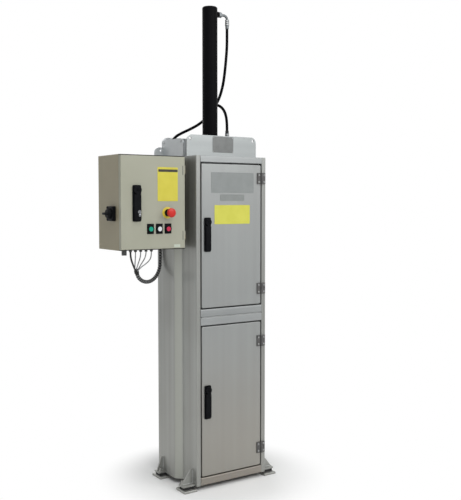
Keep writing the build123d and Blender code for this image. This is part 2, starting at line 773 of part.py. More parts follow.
# Box hinges: a strap with a knuckle on the body, a webbed knuckle on the door, a pin through both
box_hinge_x = box_right + box_hinge_radius
door_rear = box_front + box_door_depth
box_hinge_y = door_rear - box_hinge_radius
box_hinge_middles = (box_low + box_hinge_inset, box_high - box_hinge_inset)
box_hinge_lows = [middle - box_hinge_length for middle in box_hinge_middles]
box_pin_bore = box_pin_radius + running_clearance
box_bore_length = box_hinge_length + 2 * overrun
box_door_right = box_right - box_door_side_gap
for hinge_low in box_hinge_lows:
    box_body += block(
        (box_right, box_hinge_y, hinge_low),
        (box_hinge_x, body_front + box_hinge_strap, hinge_low + box_hinge_length),
    )
    box_body += round_bar((box_hinge_x, box_hinge_y, hinge_low), up, box_hinge_radius, box_hinge_length)
    bore_start = (box_hinge_x, box_hinge_y, hinge_low - overrun)
    box_body -= round_bar(bore_start, up, box_pin_bore, box_bore_length)
save("box_body", box_body)
pin_length = 2 * box_hinge_length + free_clearance
box_pin_starts = [(box_hinge_x, box_hinge_y, low) for low in box_hinge_lows]
save("box_hinge_pins", *[round_bar(start, up, box_pin_radius, pin_length) for start in box_pin_starts])

# Box door: a shallow pan with holes for the handle, the stop button and the push buttons
stop_place = (box_left + stop_setin, box_low + stop_rise)
button_places = [(box_left + setin, box_low + button_rise) for setin in button_setins]
box_hub_x = box_left + box_handle_setin
box_hub_z = box_low + box_hub_rise
box_door_low = box_low + box_door_reveal
box_door_high = box_high - box_door_reveal
box_door = block((box_left, box_front, box_door_low), (box_door_right, door_rear, box_door_high))
box_door = fillet(box_door.faces().sort_by(Axis.Y)[0].edges(), box_door_edge_radius)
box_door -= block(
    (box_left + box_sheet, box_front + box_sheet, box_door_low + box_sheet),
    (box_door_right - box_sheet, door_rear + overrun, box_door_high - box_sheet),
)
for place_x, place_z in (stop_place, *button_places):
    hole_start = (place_x, box_front - overrun, place_z)
    box_door -= round_bar(hole_start, inward, barrel_radius + free_clearance, 2 * overrun)
hub_start = (box_hub_x, box_front - overrun, box_hub_z)
box_door -= round_bar(hub_start, inward, spindle_shaft_radius + free_clearance, 2 * overrun)
for hinge_low in box_hinge_lows:
    knuckle_low = hinge_low + box_hinge_length + free_clearance
    box_door += round_bar((box_hinge_x, box_hinge_y, knuckle_low), up, box_hinge_radius, box_hinge_length)
    box_door += block(
        (box_door_right - box_sheet, box_hinge_y - box_hinge_web / 2, knuckle_low),
        (box_hinge_x, box_hinge_y + box_hinge_web / 2, knuckle_low + box_hinge_length),
    )
    bore_start = (box_hinge_x, box_hinge_y, knuckle_low - overrun)
    box_door -= round_bar(bore_start, up, box_pin_bore, box_bore_length)
save("box_door", box_door)

# Rubber seal inside the door pan, pressed on the rim when the door is shut
seal_face = Rectangle(box_width - 4 * box_sheet, box_door_high - box_door_low - 4 * box_sheet)
seal_face -= Rectangle(box_width - 2 * box_rim, box_height - 2 * box_rim)
box_middle_x = (box_left + box_right) / 2
box_middle_z = (box_low + box_high) / 2
seal_back = body_front - free_clearance
seal_plane = face_plane(box_middle_x, seal_back, box_middle_z)
save("box_door_seal", extrude(seal_plane * seal_face, seal_back - box_front - box_sheet))

# Two mount rails of folded channel between the box and the cabinet's rear side wall
mount_rails = []
for rail_start in mount_rail_places:
    rail_y = box_front + rail_start
    channel = block(
        (box_right, rail_y, box_low + mount_rail_inset),
        (-rear_half_width, rail_y + mount_rail_width, box_high - mount_rail_inset),
    )
    channel -= block(
        (box_right + mount_rail_wall, rail_y + mount_rail_wall, box_low),
        (-rear_half_width - mount_rail_wall, rail_y + mount_rail_width + overrun, box_high),
    )
    mount_rails.append(channel)
save("box_mount_rails", *mount_rails)

# Mounting plate on four pillars, and the switchgear on its rail
plate_back = box_rear - box_sheet - mounting_plate_standoff
plate_front = plate_back - mounting_plate_sheet
mounting_plate = block(
    (box_left + mounting_plate_inset, plate_front, box_low + mounting_plate_inset),
    (box_right - mounting_plate_inset, plate_back, box_high - mounting_plate_inset),
)
pillar_x = box_width / 2 - mounting_plate_inset - 2 * mounting_pillar_radius
pillar_z = box_height / 2 - mounting_plate_inset - 2 * mounting_pillar_radius
for side_x in (-pillar_x, pillar_x):
    for side_z in (-pillar_z, pillar_z):
        pillar_start = (box_middle_x + side_x, plate_back, box_middle_z + side_z)
        mounting_plate += round_bar(pillar_start, inward, mounting_pillar_radius, mounting_plate_standoff)
save("box_mounting_plate", mounting_plate)

switchgear = []
rail_low = box_middle_z - din_rail_height / 2
rail_front = plate_front - din_rail_depth
rail_half = box_width / 2 - mounting_plate_inset - mounting_pillar_radius
din_rail = block(
    (box_middle_x - rail_half, rail_front, rail_low),
    (box_middle_x + rail_half, plate_front, rail_low + din_rail_height),
)
switchgear.append(din_rail)
contactor_pitch = contactor_width + contactor_gap
for step in (-1, 0, 1):
    middle_x = box_middle_x + step * contactor_pitch
    low_x = middle_x - contactor_width / 2
    high_x = middle_x + contactor_width / 2
    step_y = rail_front - contactor_depth / 2
    body_half = contactor_height / 2
    nose_half = contactor_height * contactor_nose_share / 2
    body = block((low_x, step_y, box_middle_z - body_half), (high_x, rail_front, box_middle_z + body_half))
    nose_front = rail_front - contactor_depth
    body += block((low_x, nose_front, box_middle_z - nose_half), (high_x, step_y, box_middle_z + nose_half))
    switchgear.append(body)
save("switchgear", *switchgear)

box_tongue_depth = box_door_depth + box_door_gap + box_sheet + tongue_gap
box_tongue_reach = box_handle_setin - box_rim - tongue_clearance
box_hub = (box_hub_x, box_front, box_hub_z)
handle("box", box_hub, box_handle_width, box_handle_length, box_tongue_depth, box_tongue_reach)

# Main switch on the box's left side: square base and a knob with a grip bar
switch_front = box_left - switch_plate_thickness
switch_base = block(
    (switch_front, switch_y - switch_plate / 2, switch_z - switch_plate / 2),
    (box_left, switch_y + switch_plate / 2, switch_z + switch_plate / 2),
)
switch_base = fillet(switch_base.edges().filter_by(Axis.X), handle_corner_radius)
bore_start = (switch_front - overrun, switch_y, switch_z)
bore_length = switch_plate_thickness + 2 * overrun
switch_base -= round_bar(bore_start, rightward, switch_shaft_radius + running_clearance, bore_length)
save("main_switch_base", switch_base)
knob_back = switch_front - free_clearance
knob = round_bar((knob_back, switch_y, switch_z), leftward, switch_knob_radius, switch_knob_thickness)
bar_back = knob_back - switch_knob_thickness
knob += block(
    (bar_back - switch_bar_height, switch_y - switch_bar_length / 2, switch_z - switch_bar_width / 2),
    (bar_back, switch_y + switch_bar_length / 2, switch_z + switch_bar_width / 2),
)
knob += round_bar((knob_back, switch_y, switch_z), rightward, switch_shaft_radius, switch_shaft_length)
save("main_switch_knob", knob)

# Stop button: yellow disc with collar and barrel, red mushroom head on a stem
stop_x, stop_z = stop_place
disc_front = box_front - stop_disc_thickness
collar_front = disc_front - stop_collar_length
stop_base = round_bar((stop_x, box_front, stop_z), outward, stop_disc_radius, stop_disc_thickness)
stop_base += round_bar((stop_x, disc_front, stop_z), outward, stop_collar_radius, stop_collar_length)
stop_base += round_bar((stop_x, box_front, stop_z), inward, barrel_radius, barrel_length)
stem_start = (stop_x, collar_front - overrun, stop_z)
stop_base -= round_bar(stem_start, inward, stop_stem_radius + free_clearance, stop_stem_length + overrun)
save("stop_base", stop_base)
head_back = collar_front - stop_neck_length
head_line = [(out * stop_head_radius, along * stop_head_length) for out, along in stop_profile_shares]
head_profile = make_face(Polyline((0, 0), *head_line, close=True))
head_plane = Plane(origin=(stop_x, head_back, stop_z), x_dir=rightward, z_dir=up)
stop_head = revolve(head_plane * mirror(head_profile, Plane.XZ), Axis((stop_x, head_back, stop_z), outward))
stop_head += round_bar((stop_x, head_back, stop_z), inward, stop_stem_radius, stop_stem_length)
save("stop_head", stop_head)

# Push buttons: legend plate, bezel and barrel of each, with its own sprung cap
bezels = []
for (place_x, place_z), colour in zip(button_places, ("green", "white", "red")):
    legend_front = box_front - legend_thickness
    bezel_front = legend_front - bezel_height
    legend_plane = face_plane(place_x, box_front, place_z + legend_lift)
    bezel = extrude(legend_plane * Rectangle(legend_width, legend_height), legend_thickness)
    bezel += round_bar((place_x, legend_front, place_z), outward, bezel_radius, bezel_height)
    bezel += round_bar((place_x, box_front, place_z), inward, barrel_radius, barrel_length)
    recess_radius = button_radius + free_clearance
    bezel -= round_bar((place_x, bezel_front, place_z), inward, recess_radius, button_recess)
    bezels.append(bezel)
    cap_front = bezel_front - button_proud
    cap = round_bar((place_x, cap_front, place_z), inward, button_radius, button_proud + button_depth)
    save(f"{colour}_button", cap)
save("button_bezels", *bezels)

# Cable glands under the box, with one blanking plug
inner_nut = box_low + box_sheet
glands = []
for place_x, place_y in gland_places:
    gland = hex_bar((place_x, place_y, box_low), down, gland_nut_radius, gland_nut_height)
    neck_start = (place_x, place_y, box_low - gland_nut_height)
    gland += round_bar(neck_start, down, gland_neck_radius, gland_neck_length)
    gland += round_bar((place_x, place_y, box_low), up, gland_thread_radius, box_sheet)
    gland += hex_bar((place_x, place_y, inner_nut), up, gland_nut_radius, gland_nut_height)
    glands.append(gland)
plug = round_bar((*plug_place, box_low), down, plug_radius, plug_length)
plug += round_bar((*plug_place, box_low), up, gland_thread_radius, box_sheet)
plug += hex_bar((*plug_place, inner_nut), up, gland_nut_radius, gland_nut_height)
save("cable_glands", *glands, plug)

# Control cables from the glands down to the mouth of the conduit
cables = []
for step, route in enumerate(cable_routes):
    thickness = thick_cable_diameter if step == 0 else thin_cable_diameter
    cables.append(cord(f"cable {step + 1}", route, box_corner, thickness))
save("control_cables", *cables)
save("cable_conduit", cord("cable_conduit", conduit_route, box_corner, conduit_diameter))

# Elbow that takes the conduit through the cabinet's rear side wall, hidden behind the box
conduit_x, conduit_y, conduit_z = Vector(*conduit_route[-1]) + Vector(*box_corner)
elbow = round_bar((conduit_x, conduit_y, conduit_z), up, elbow_socket_radius, elbow_socket_length)
elbow_arm = -rear_half_width - conduit_x
elbow_axis = conduit_z + elbow_socket_length - elbow_arm_radius
elbow += round_bar((conduit_x, conduit_y, elbow_axis), rightward, elbow_arm_radius, elbow_arm)
save("conduit_elbow", elbow)
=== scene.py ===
import math

import bmesh
import bpy
from mathutils import Matrix, Vector


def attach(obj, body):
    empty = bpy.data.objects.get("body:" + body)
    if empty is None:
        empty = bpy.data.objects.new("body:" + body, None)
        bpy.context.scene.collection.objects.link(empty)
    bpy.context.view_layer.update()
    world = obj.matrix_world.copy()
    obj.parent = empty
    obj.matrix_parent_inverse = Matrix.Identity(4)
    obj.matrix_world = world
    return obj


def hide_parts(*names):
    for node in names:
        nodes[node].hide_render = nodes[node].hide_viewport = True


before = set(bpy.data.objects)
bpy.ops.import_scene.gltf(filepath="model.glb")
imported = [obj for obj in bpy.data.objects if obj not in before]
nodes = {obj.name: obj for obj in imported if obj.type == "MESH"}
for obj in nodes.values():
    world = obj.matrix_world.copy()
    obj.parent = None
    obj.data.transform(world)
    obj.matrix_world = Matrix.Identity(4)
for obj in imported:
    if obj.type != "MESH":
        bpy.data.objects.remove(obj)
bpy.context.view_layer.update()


# Studio: a pale paper floor that turns to plain white further out, a white surround for the eye and
# for bright metal, and large soft lamps. The camera stands where the photographer stood, left of the
# front and a little above the middle of the machine.
def srgb(code):
    """An sRGB hex colour as the linear colour that a socket takes."""
    parts = [int(code[i : i + 2], 16) / 255 for i in (1, 3, 5)]
    return [c / 12.92 if c <= 0.04045 else ((c + 0.055) / 1.055) ** 2.4 for c in parts] + [1.0]


def add(tree, kind, sockets=None, **settings):
    """A node with its settings, its fixed values and its links."""
    made = tree.nodes.new(kind)
    for name, value in settings.items():
        setattr(made, name, value)
    for name, value in (sockets or {}).items():
        if isinstance(value, bpy.types.NodeSocket):
            tree.links.new(value, made.inputs[name])
        else:
            made.inputs[name].default_value = value
    return made


def bare_material(name):
    """An empty node material and its tree."""
    material = bpy.data.materials.new(name)
    material.use_nodes = True
    material.node_tree.nodes.clear()
    return material, material.node_tree


def seen_ray(tree):
    """1 for the rays that should see the white surround: from the camera, a mirror or glass."""
    path = add(tree, "ShaderNodeLightPath").outputs
    seen = {0: path["Is Camera Ray"], 1: path["Is Glossy Ray"]}
    seen = add(tree, "ShaderNodeMath", seen, operation="MAXIMUM").outputs[0]
    seen = {0: seen, 1: path["Is Transmission Ray"]}
    return add(tree, "ShaderNodeMath", seen, operation="MAXIMUM").outputs[0]


floor_radius, paper_end, white_start = 9.0, 0.26, 0.56
floor_shape = bmesh.new()
bmesh.ops.create_circle(floor_shape, cap_ends=True, segments=96, radius=floor_radius)
floor_mesh = bpy.data.meshes.new("floor")
floor_shape.to_mesh(floor_mesh)
floor_shape.free()
floor = bpy.data.objects.new("floor", floor_mesh)
bpy.context.scene.collection.objects.link(floor)
# Matt paper: nearly white under the machine, where it takes the shadow, and plain white further out.
floor_paper, tree = bare_material("pale_studio_paper")
spot = add(tree, "ShaderNodeTexCoord").outputs["Object"]
reach = add(tree, "ShaderNodeVectorMath", {0: spot}, operation="LENGTH").outputs["Value"]
edge = {"Value": reach, "From Min": paper_end, "From Max": white_start}
fade = add(tree, "ShaderNodeMapRange", edge, interpolation_type="SMOOTHSTEP")
whiten = add(tree, "ShaderNodeMath", {0: fade.outputs[0], 1: seen_ray(tree)}, operation="MULTIPLY")
paper = add(tree, "ShaderNodeBsdfDiffuse", {"Color": srgb("#f8f8f7")})
glow = add(tree, "ShaderNodeEmission", {"Color": (1, 1, 1, 1), "Strength": 1.0})
blend = add(tree, "ShaderNodeMixShader", {0: whiten.outputs[0], 1: paper.outputs[0], 2: glow.outputs[0]})
add(tree, "ShaderNodeOutputMaterial", {"Surface": blend.outputs[0]})
floor_mesh.materials.append(floor_paper)

world = bpy.data.worlds.new("white_surround")
bpy.context.scene.world = world
world.use_nodes = True
tree = world.node_tree
tree.nodes.clear()
fill_light = add(tree, "ShaderNodeBackground", {"Color": srgb("#f2f4f6"), "Strength": 0.38})
white_light = add(tree, "ShaderNodeBackground", {"Color": (1, 1, 1, 1), "Strength": 1.0})
surround = {0: seen_ray(tree), 1: fill_light.outputs[0], 2: white_light.outputs[0]}
surround = add(tree, "ShaderNodeMixShader", surround).outputs[0]
add(tree, "ShaderNodeOutputWorld", {"Surface": surround})

lit_point = Vector((0, 0, 1.0))
for lamp_name, place, size, power in (
    ("key_softbox", (1.5, -3.5, 3.0), 2.4, 58.0),
    ("front_softbox", (-1.2, -3.6, 3.4), 2.2, 33.0),
    ("top_softbox", (-0.7, -1.4, 4.4), 2.4, 46.0),
    ("rear_fill", (0.8, 3.4, 2.6), 2.2, 30.0),
):
    lamp = bpy.data.lights.new(lamp_name, "AREA")
    lamp.shape = "DISK"
    lamp.size = size
    lamp.energy = power
    holder = bpy.data.objects.new(lamp_name, lamp)
    holder.location = place
    holder.rotation_euler = (lit_point - Vector(place)).to_track_quat("-Z", "Y").to_euler()
    bpy.context.scene.collection.objects.link(holder)

turn, tilt = math.radians(33.4), math.radians(3.46)
sight = Vector((math.sin(turn) * math.cos(tilt), math.cos(turn) * math.cos(tilt), -math.sin(tilt)))
camera_data = bpy.data.cameras.new("camera")
camera_data.sensor_fit = "VERTICAL"
camera_data.sensor_height = 36.0
camera_data.lens = 56.78
camera = bpy.data.objects.new("camera", camera_data)
camera.location = (-1.9404, -3.0825, 1.2772)
camera.rotation_euler = sight.to_track_quat("-Z", "Y").to_euler()
bpy.context.scene.collection.objects.link(camera)
bpy.context.scene.camera = camera
bpy.context.scene.view_settings.view_transform = "Standard"


# Feet: zinc-plated base plates bolted to the deck, black rubber pads on them, and stainless brackets
# with one gusset each, welded to the walls. A plated bolt with a washer and nut holds each foot together.
mm = 0.001


def surface(name, colours, roughness, mottle, grain, metallic=0.0, drawn=(1, 1, 1), relief=0.0, specular=0.5):
    """A finish with a slow mottle between two colours, an uneven gloss and a fine grain. Mottle and grain
    are sizes in millimetres; a finer real grain is drawn this coarse so that it shows."""
    material, tree = bare_material(name)
    spot = add(tree, "ShaderNodeTexCoord").outputs["Object"]
    clouds = {"Vector": spot, "Scale": 1 / (mottle * mm), "Detail": 3.0}
    clouds = add(tree, "ShaderNodeTexNoise", clouds).outputs["Fac"]
    tint = add(tree, "ShaderNodeValToRGB", {"Fac": clouds})
    for stop, code, place in zip(tint.color_ramp.elements, colours, (0.3, 0.7)):
        stop.color = srgb(code)
        stop.position = place
    lay = add(tree, "ShaderNodeMapping", {"Vector": spot, "Scale": drawn})
    grains = {"Vector": lay.outputs[0], "Scale": 1 / (grain * mm), "Detail": 2.0}
    grains = add(tree, "ShaderNodeTexNoise", grains).outputs["Fac"]
    gloss = {"Value": grains, "From Min": 0.25, "From Max": 0.75, "To Min": roughness[0], "To Max": roughness[1]}
    gloss = add(tree, "ShaderNodeMapRange", gloss).outputs[0]
    finish = {"Base Color": tint.outputs["Color"], "Roughness": gloss, "Metallic": metallic}
    finish["Specular IOR Level"] = specular
    if relief:
        bumps = {"Height": grains, "Strength": relief, "Distance": 0.2 * mm}
        finish["Normal"] = add(tree, "ShaderNodeBump", bumps).outputs[0]
    shader = add(tree, "ShaderNodeBsdfPrincipled", finish)
    add(tree, "ShaderNodeOutputMaterial", {"Surface": shader.outputs[0]})
    return material


def paint(material, *names):
    """Gives CAD nodes their finish."""
    for name in names:
        nodes[name].data.materials.clear()
        nodes[name].data.materials.append(material)


def at(x, y, z, turned_by=Matrix.Identity(4)):
    """The place of a part, in millimetres, and the way it faces: a part is made lying down, face up."""
    return Matrix.Translation(Vector((x, y, z)) * mm) @ turned_by


def join(shape, part, place):
    """Sets a finished part in its place and adds it to a larger shape."""
    bmesh.ops.recalc_face_normals(part, faces=part.faces[:])
    bmesh.ops.transform(part, matrix=place, verts=part.verts[:])
    spare = bpy.data.meshes.new("spare")
    part.to_mesh(spare)
    part.free()
    shape.from_mesh(spare)
    bpy.data.meshes.remove(spare)


def piece(name, shape, material, body, crease=35):
    """A finished mesh as one object at the origin, riding on a CAD body."""
    mesh = bpy.data.meshes.new(name)
    shape.to_mesh(mesh)
    shape.free()
    mesh.materials.append(material)
    mesh.shade_smooth()
    mesh.set_sharp_from_angle(angle=math.radians(crease))
    made = bpy.data.objects.new(name, mesh)
    bpy.context.scene.collection.objects.link(made)
    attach(made, body)
    return made


def turned(profile, steps=24):
    """A part off the lathe: its half section, as radius and height in millimetres, spun once round. A
    section that keeps clear of the axis is closed, and gives a ring."""
    part = bmesh.new()
    points = [part.verts.new((radius * mm, 0, height * mm)) for radius, height in profile]
    follow = points[1:] if 0 in (profile[0][0], profile[-1][0]) else points[1:] + points[:1]
    lines = [part.edges.new(pair) for pair in zip(points, follow)]
    bmesh.ops.spin(part, geom=points + lines, axis=(0, 0, 1), angle=math.tau, steps=steps, use_merge=True)
    bmesh.ops.remove_doubles(part, verts=part.verts[:], dist=0.001 * mm)
    return part


def next_ring(shape, ring, step):
    """Draws an open ring of edges out by one step, and gives the new ring."""
    grown = bmesh.ops.extrude_edge_only(shape, edges=ring)["geom"]
    verts = {part for part in grown if isinstance(part, bmesh.types.BMVert)}
    bmesh.ops.transform(shape, matrix=step, verts=list(verts))
    return [part for part in grown if isinstance(part, bmesh.types.BMEdge) and verts.issuperset(part.verts)]


def weld_bead(shape, start, end, radius):
    """A run of weld between two points in millimetres, with the ripple that each puddle leaves."""
    run = (Vector(end) - Vector(start)) * mm
    ripple_length, ripple_swell = 2.2 * mm, 1.16
    ripples = max(round(run.length / ripple_length), 4)
    bead = bmesh.new()
    bmesh.ops.create_circle(bead, segments=8, radius=radius * mm)
    ring = bead.edges[:]
    for ripple in range(ripples):
        swell = ripple_swell if ripple % 2 == 0 else 1 / ripple_swell
        grow = Matrix.Diagonal((swell, swell, 1, 1))
        ring = next_ring(bead, ring, Matrix.Translation((0, 0, run.length / ripples)) @ grow)
    bmesh.ops.holes_fill(bead, edges=bead.edges[:], sides=0)
    join(shape, bead, at(*start, run.to_track_quat("Z", "Y").to_matrix().to_4x4()))


# Bright zinc plate on mild steel: pale, a little blotchy, half dulled by handling.
zinc_plate = surface(
    "zinc_plated_steel", ("#93938f", "#a6a6a2"), roughness=(0.38, 0.55), metallic=0.75, mottle=25.0,
    grain=1.5, relief=0.05,
)
# Moulded rubber: nearly black, dull, with a fine grain from the mould.
pad_rubber = surface(
    "moulded_black_rubber", ("#141414", "#1c1c1b"), roughness=(0.7, 0.9), mottle=20.0, grain=0.8,
    relief=0.3,
)
# Stainless weld metal, a little blotchy from the heat, painted brighter than the sheet: a painted highlight for
# the light the welds catch.
weld_metal_highlight = surface(
    "stainless_weld_metal_highlight", ("#a4a6a5", "#babcbb"), roughness=(0.3, 0.45), metallic=0.7, mottle=6.0,
    grain=1.5, relief=0.1,
)
paint(zinc_plate, "foot_base_plates", "foot_bolts")
paint(pad_rubber, "foot_pads", "box_door_seal")
washers = bmesh.new()
foot_welds = bmesh.new()
foot_bolt_x, foot_bolt_y, bracket_top = 232.0, 100.5, 30.0
gusset_y, gusset_half, gusset_out, gusset_top = 112.5, 3.5, 238.0, 91.0
weld_low, weld_radius = 31.0, 2.0
for side in (-1, 1):
    for end, wall_x in ((-1, 185.0), (1, 212.0)):
        washer = turned([(5.4, 0), (10.6, 0), (10.9, 0.4), (10.9, 1.3), (10.5, 1.7), (5.4, 1.7)])
        join(washers, washer, at(side * foot_bolt_x, end * foot_bolt_y, bracket_top))
        for face in (-gusset_half, gusset_half):
            weld_y = end * gusset_y + face
            corner = (side * wall_x, weld_y, weld_low)
            weld_bead(foot_welds, corner, (side * gusset_out, weld_y, weld_low), weld_radius)
            corner = (side * wall_x, weld_y, weld_low + 1.0)
            weld_bead(foot_welds, corner, (side * wall_x, weld_y, gusset_top), weld_radius)
piece("foot_washers", washers, zinc_plate, "cabinet")
piece("foot_gusset_welds", foot_welds, weld_metal_highlight, "cabinet", 60)


# Cabinet: folded and welded stainless sheet with a satin belt finish. The belt leaves long fine lines,
# upright on the walls and doors and level on the rails; broad soft bands go with them, and dust from
# the floor shows low down, warmest on the bottom rail.
def satin_sheet(name, colours, drawn, dust_colour="#9f9380", dust_share=0.36, fold_highlight=None):
    """Belt-finished stainless, its lines drawn out one way: the lines are far coarser than the real
    tenth of a millimetre, so that they show at all. Where a fold gets a painted highlight, for the light
    that it catches, its colour and the two depths that it lies between, in millimetres, are given."""
    line, band, cloud = 5.0, 38.0, 300.0
    dust_low, dust_high = 0.05, 0.8
    material, tree = bare_material(name)
    spot = add(tree, "ShaderNodeTexCoord").outputs["Object"]
    lay = add(tree, "ShaderNodeMapping", {"Vector": spot, "Scale": drawn}).outputs[0]
    tone = 0.0
    for size, spread, detail, share in (
        (band, lay, 1.0, 0.5),
        (cloud, spot, 2.0, 0.3),
        (line, lay, 4.0, 0.2),
    ):
        noise = {"Vector": spread, "Scale": 1 / (size * mm), "Detail": detail}
        noise = add(tree, "ShaderNodeTexNoise", noise).outputs["Fac"]
        tone = add(tree, "ShaderNodeMath", {0: noise, 1: share, 2: tone}, operation="MULTIPLY_ADD").outputs[0]
    lines = noise
    tint = add(tree, "ShaderNodeValToRGB", {"Fac": tone})
    for stop, code, place in zip(tint.color_ramp.elements, colours, (0.36, 0.64)):
        stop.color = srgb(code)
        stop.position = place
    place = add(tree, "ShaderNodeSeparateXYZ", {"Vector": spot}).outputs
    dust = {"Value": place["Z"], "From Min": dust_low, "From Max": dust_high, "To Min": dust_share, "To Max": 0.0}
    dust = add(tree, "ShaderNodeMapRange", dust, interpolation_type="SMOOTHSTEP").outputs[0]
    colour = {0: dust, 6: tint.outputs["Color"], 7: srgb(dust_colour)}
    colour = add(tree, "ShaderNodeMix", colour, data_type="RGBA").outputs[2]
    # Painted highlight: a soft band across the fold, between the two given depths, is painted paler.
    if fold_highlight:
        bright, near, far = fold_highlight
        middle, width, full_highlight = (near + far) / 2 * mm, (far - near) * mm, 0.75
        reach = add(tree, "ShaderNodeMath", {0: place["Y"], 1: -middle}, operation="ADD").outputs[0]
        reach = add(tree, "ShaderNodeMath", {0: reach}, operation="ABSOLUTE").outputs[0]
        fold_highlight_mask = {"Value": reach, "From Min": width / 4, "From Max": width / 1.6, "To Min": full_highlight, "To Max": 0.0}
        fold_highlight_mask = add(tree, "ShaderNodeMapRange", fold_highlight_mask, interpolation_type="SMOOTHSTEP").outputs[0]
        colour = {0: fold_highlight_mask, 6: colour, 7: srgb(bright)}
        colour = add(tree, "ShaderNodeMix", colour, data_type="RGBA").outputs[2]
    gloss = {"Value": lines, "From Min": 0.3, "From Max": 0.7, "To Min": 0.34, "To Max": 0.46}
    gloss = add(tree, "ShaderNodeMapRange", gloss).outputs[0]
    bumps = add(tree, "ShaderNodeBump", {"Height": lines, "Strength": 0.06, "Distance": 0.2 * mm})
    finish = {"Base Color": colour, "Roughness": gloss, "Metallic": 0.55, "Normal": bumps.outputs[0]}
    shader = add(tree, "ShaderNodeBsdfPrincipled", finish)
    add(tree, "ShaderNodeOutputMaterial", {"Surface": shader.outputs[0]})
    return material


upright, level = (1.0, 1.0, 0.015), (0.015, 1.0, 1.0)
# The walls are the same sheet left greyer, with a painted highlight on their folded step for the light that it
# catches; the rails hold most dust.
wall_sheet = satin_sheet(
    "satin_stainless_walls", ("#888985", "#9ea09d"), upright, "#a5a49e", fold_highlight=("#a8aaa2", -27.5, -0.5)
)
door_sheet = satin_sheet("satin_stainless_doors", ("#929493", "#989b9a"), upright)
rail_sheet = satin_sheet("satin_stainless_rails", ("#8c8f8f", "#a3a6a6"), level, "#8f8272", 0.6)
paint(wall_sheet, "left_side_wall", "right_side_wall", "rear_wall", "foot_brackets", "box_mount_rails")
paint(rail_sheet, "top_rail", "upper_sill_rail", "lower_head_rail", "bottom_rail", "roof_plate", "floor_plate")
paint(door_sheet, "upper_door", "lower_door")
# Sponge rubber: dark grey, dull, a little dusty.
seal_sponge = surface(
    "grey_sponge_rubber", ("#38393a", "#444546"), roughness=(0.75, 0.9), mottle=20.0, grain=1.0, relief=0.3,
)
paint(seal_sponge, "upper_door_seal", "lower_door_seal")
# The seam's bead is the bright weld metal too, a painted highlight along the split between the rails.
rail_weld = bmesh.new()
seam_half, seam_y, seam_z, seam_radius = 157.0, -150.8, 772.0, 1.1
weld_bead(rail_weld, (-seam_half, seam_y, seam_z), (seam_half, seam_y, seam_z), seam_radius)
piece("rail_seam_weld", rail_weld, weld_metal_highlight, "cabinet", 60)


# Roof collar: three stainless plates round the cylinder's foot and one across the back, with an ear each
# side, welded to the roof. A bare anodised plate is riveted to the front one.
# Bright stainless: paler than the cabinet; the side plates are painted paler still and the one at the back palest,
# as painted light that lifts the shade they lie in.
collar_sheet = satin_sheet("satin_stainless_collar", ("#959999", "#9fa3a3"), level)
side_sheet_painted_light = satin_sheet("lightened_stainless_collar_sides", ("#acb0b2", "#b6babc"), level)
paint(collar_sheet, "collar_front_plate")
rear_sheet_painted_light = satin_sheet("lightened_stainless_fixing_plate", ("#bcc0c2", "#c4c8ca"), level)
# Painted light: the side plates and the plate at the back are painted paler than the front plate.
paint(side_sheet_painted_light, "collar_left_plate", "collar_right_plate")
paint(rear_sheet_painted_light, "rear_fixing_plate")
# Painted highlight: the bright beads along the collar's foot stand for the line of light along it.
collar_welds = bmesh.new()
collar_y, collar_x, roof_z, rear_y = -72.5, 185.0, 1480.6, 157.5
weld_bead(collar_welds, (-168.0, collar_y, roof_z), (168.0, collar_y, roof_z), 2.2)
for side in (-collar_x, collar_x):
    weld_bead(collar_welds, (side, -34.0, roof_z), (side, 150.0, roof_z), 2.2)
weld_bead(collar_welds, (-182.0, rear_y, 1482.0), (182.0, rear_y, 1482.0), 2.0)
piece("collar_welds", collar_welds, weld_metal_highlight, "cabinet", 60)
facing_front = Matrix.Rotation(math.radians(90), 4, "X")


def plate(width, height, thickness, corner, rim, border=0.0):
    """A thin plate with rounded corners and an eased front rim. Where a border is given, the middle is
    sunk inside it."""
    rounded = {"profile": 0.5, "affect": "EDGES", "material": -1}
    part = bmesh.new()
    bmesh.ops.create_cube(part, size=mm)
    bmesh.ops.scale(part, vec=(width, height, thickness), verts=part.verts[:])
    bmesh.ops.translate(part, vec=(0, 0, thickness * mm / 2), verts=part.verts[:])
    uprights = [edge for edge in part.edges if edge.verts[0].co.z != edge.verts[1].co.z]
    bmesh.ops.bevel(part, geom=uprights, offset=corner * mm, segments=4, **rounded)
    front = max(part.faces, key=lambda face: face.calc_center_median().z)
    bmesh.ops.bevel(part, geom=front.edges[:], offset=rim * mm, segments=2, **rounded)
    if border:
        front = max(part.faces, key=lambda face: (round(face.calc_center_median().z / mm, 3), face.calc_area()))
        bmesh.ops.inset_region(part, faces=[front], thickness=border * mm)
        bmesh.ops.inset_region(part, faces=[front], thickness=0.3 * mm, depth=-0.25 * mm)
    return part


def rivet(radius, height):
    """A low domed rivet head."""
    shoulder = [(radius, 0), (radius * 0.95, height * 0.45), (radius * 0.7, height * 0.85)]
    return turned([(0, 0), *shoulder, (0, height)], 16)


# Grey anodised aluminium, rubbed level: softer and darker than the sheet behind it.
anodised_grey = surface(
    "grey_anodised_plate", ("#6b6d6c", "#767877"), roughness=(0.42, 0.55), metallic=0.35, mottle=30.0,
    grain=1.6, drawn=(0.05, 1, 1), relief=0.08,
)
# Bright drawn steel, as small screws and rivets have.
bright_steel = surface(
    "bright_screw_steel", ("#a8a9a8", "#b6b7b6"), roughness=(0.22, 0.34), metallic=0.9, mottle=12.0,
    grain=0.6,
)
collar_plate = bmesh.new()
join(collar_plate, plate(110.0, 71.0, 1.2, 3.0, 0.4, 1.8), at(4.0, collar_y, 1536.5, facing_front))
piece("collar_bare_plate", collar_plate, anodised_grey, "cabinet", 20)
plate_rivets = bmesh.new()
for rivet_x in (-46.5, 54.5):
    for rivet_z in (1505.5, 1567.5):
        join(plate_rivets, rivet(2.2, 1.2), at(rivet_x, -73.4, rivet_z, facing_front))
piece("collar_plate_rivets", plate_rivets, bright_steel, "cabinet")


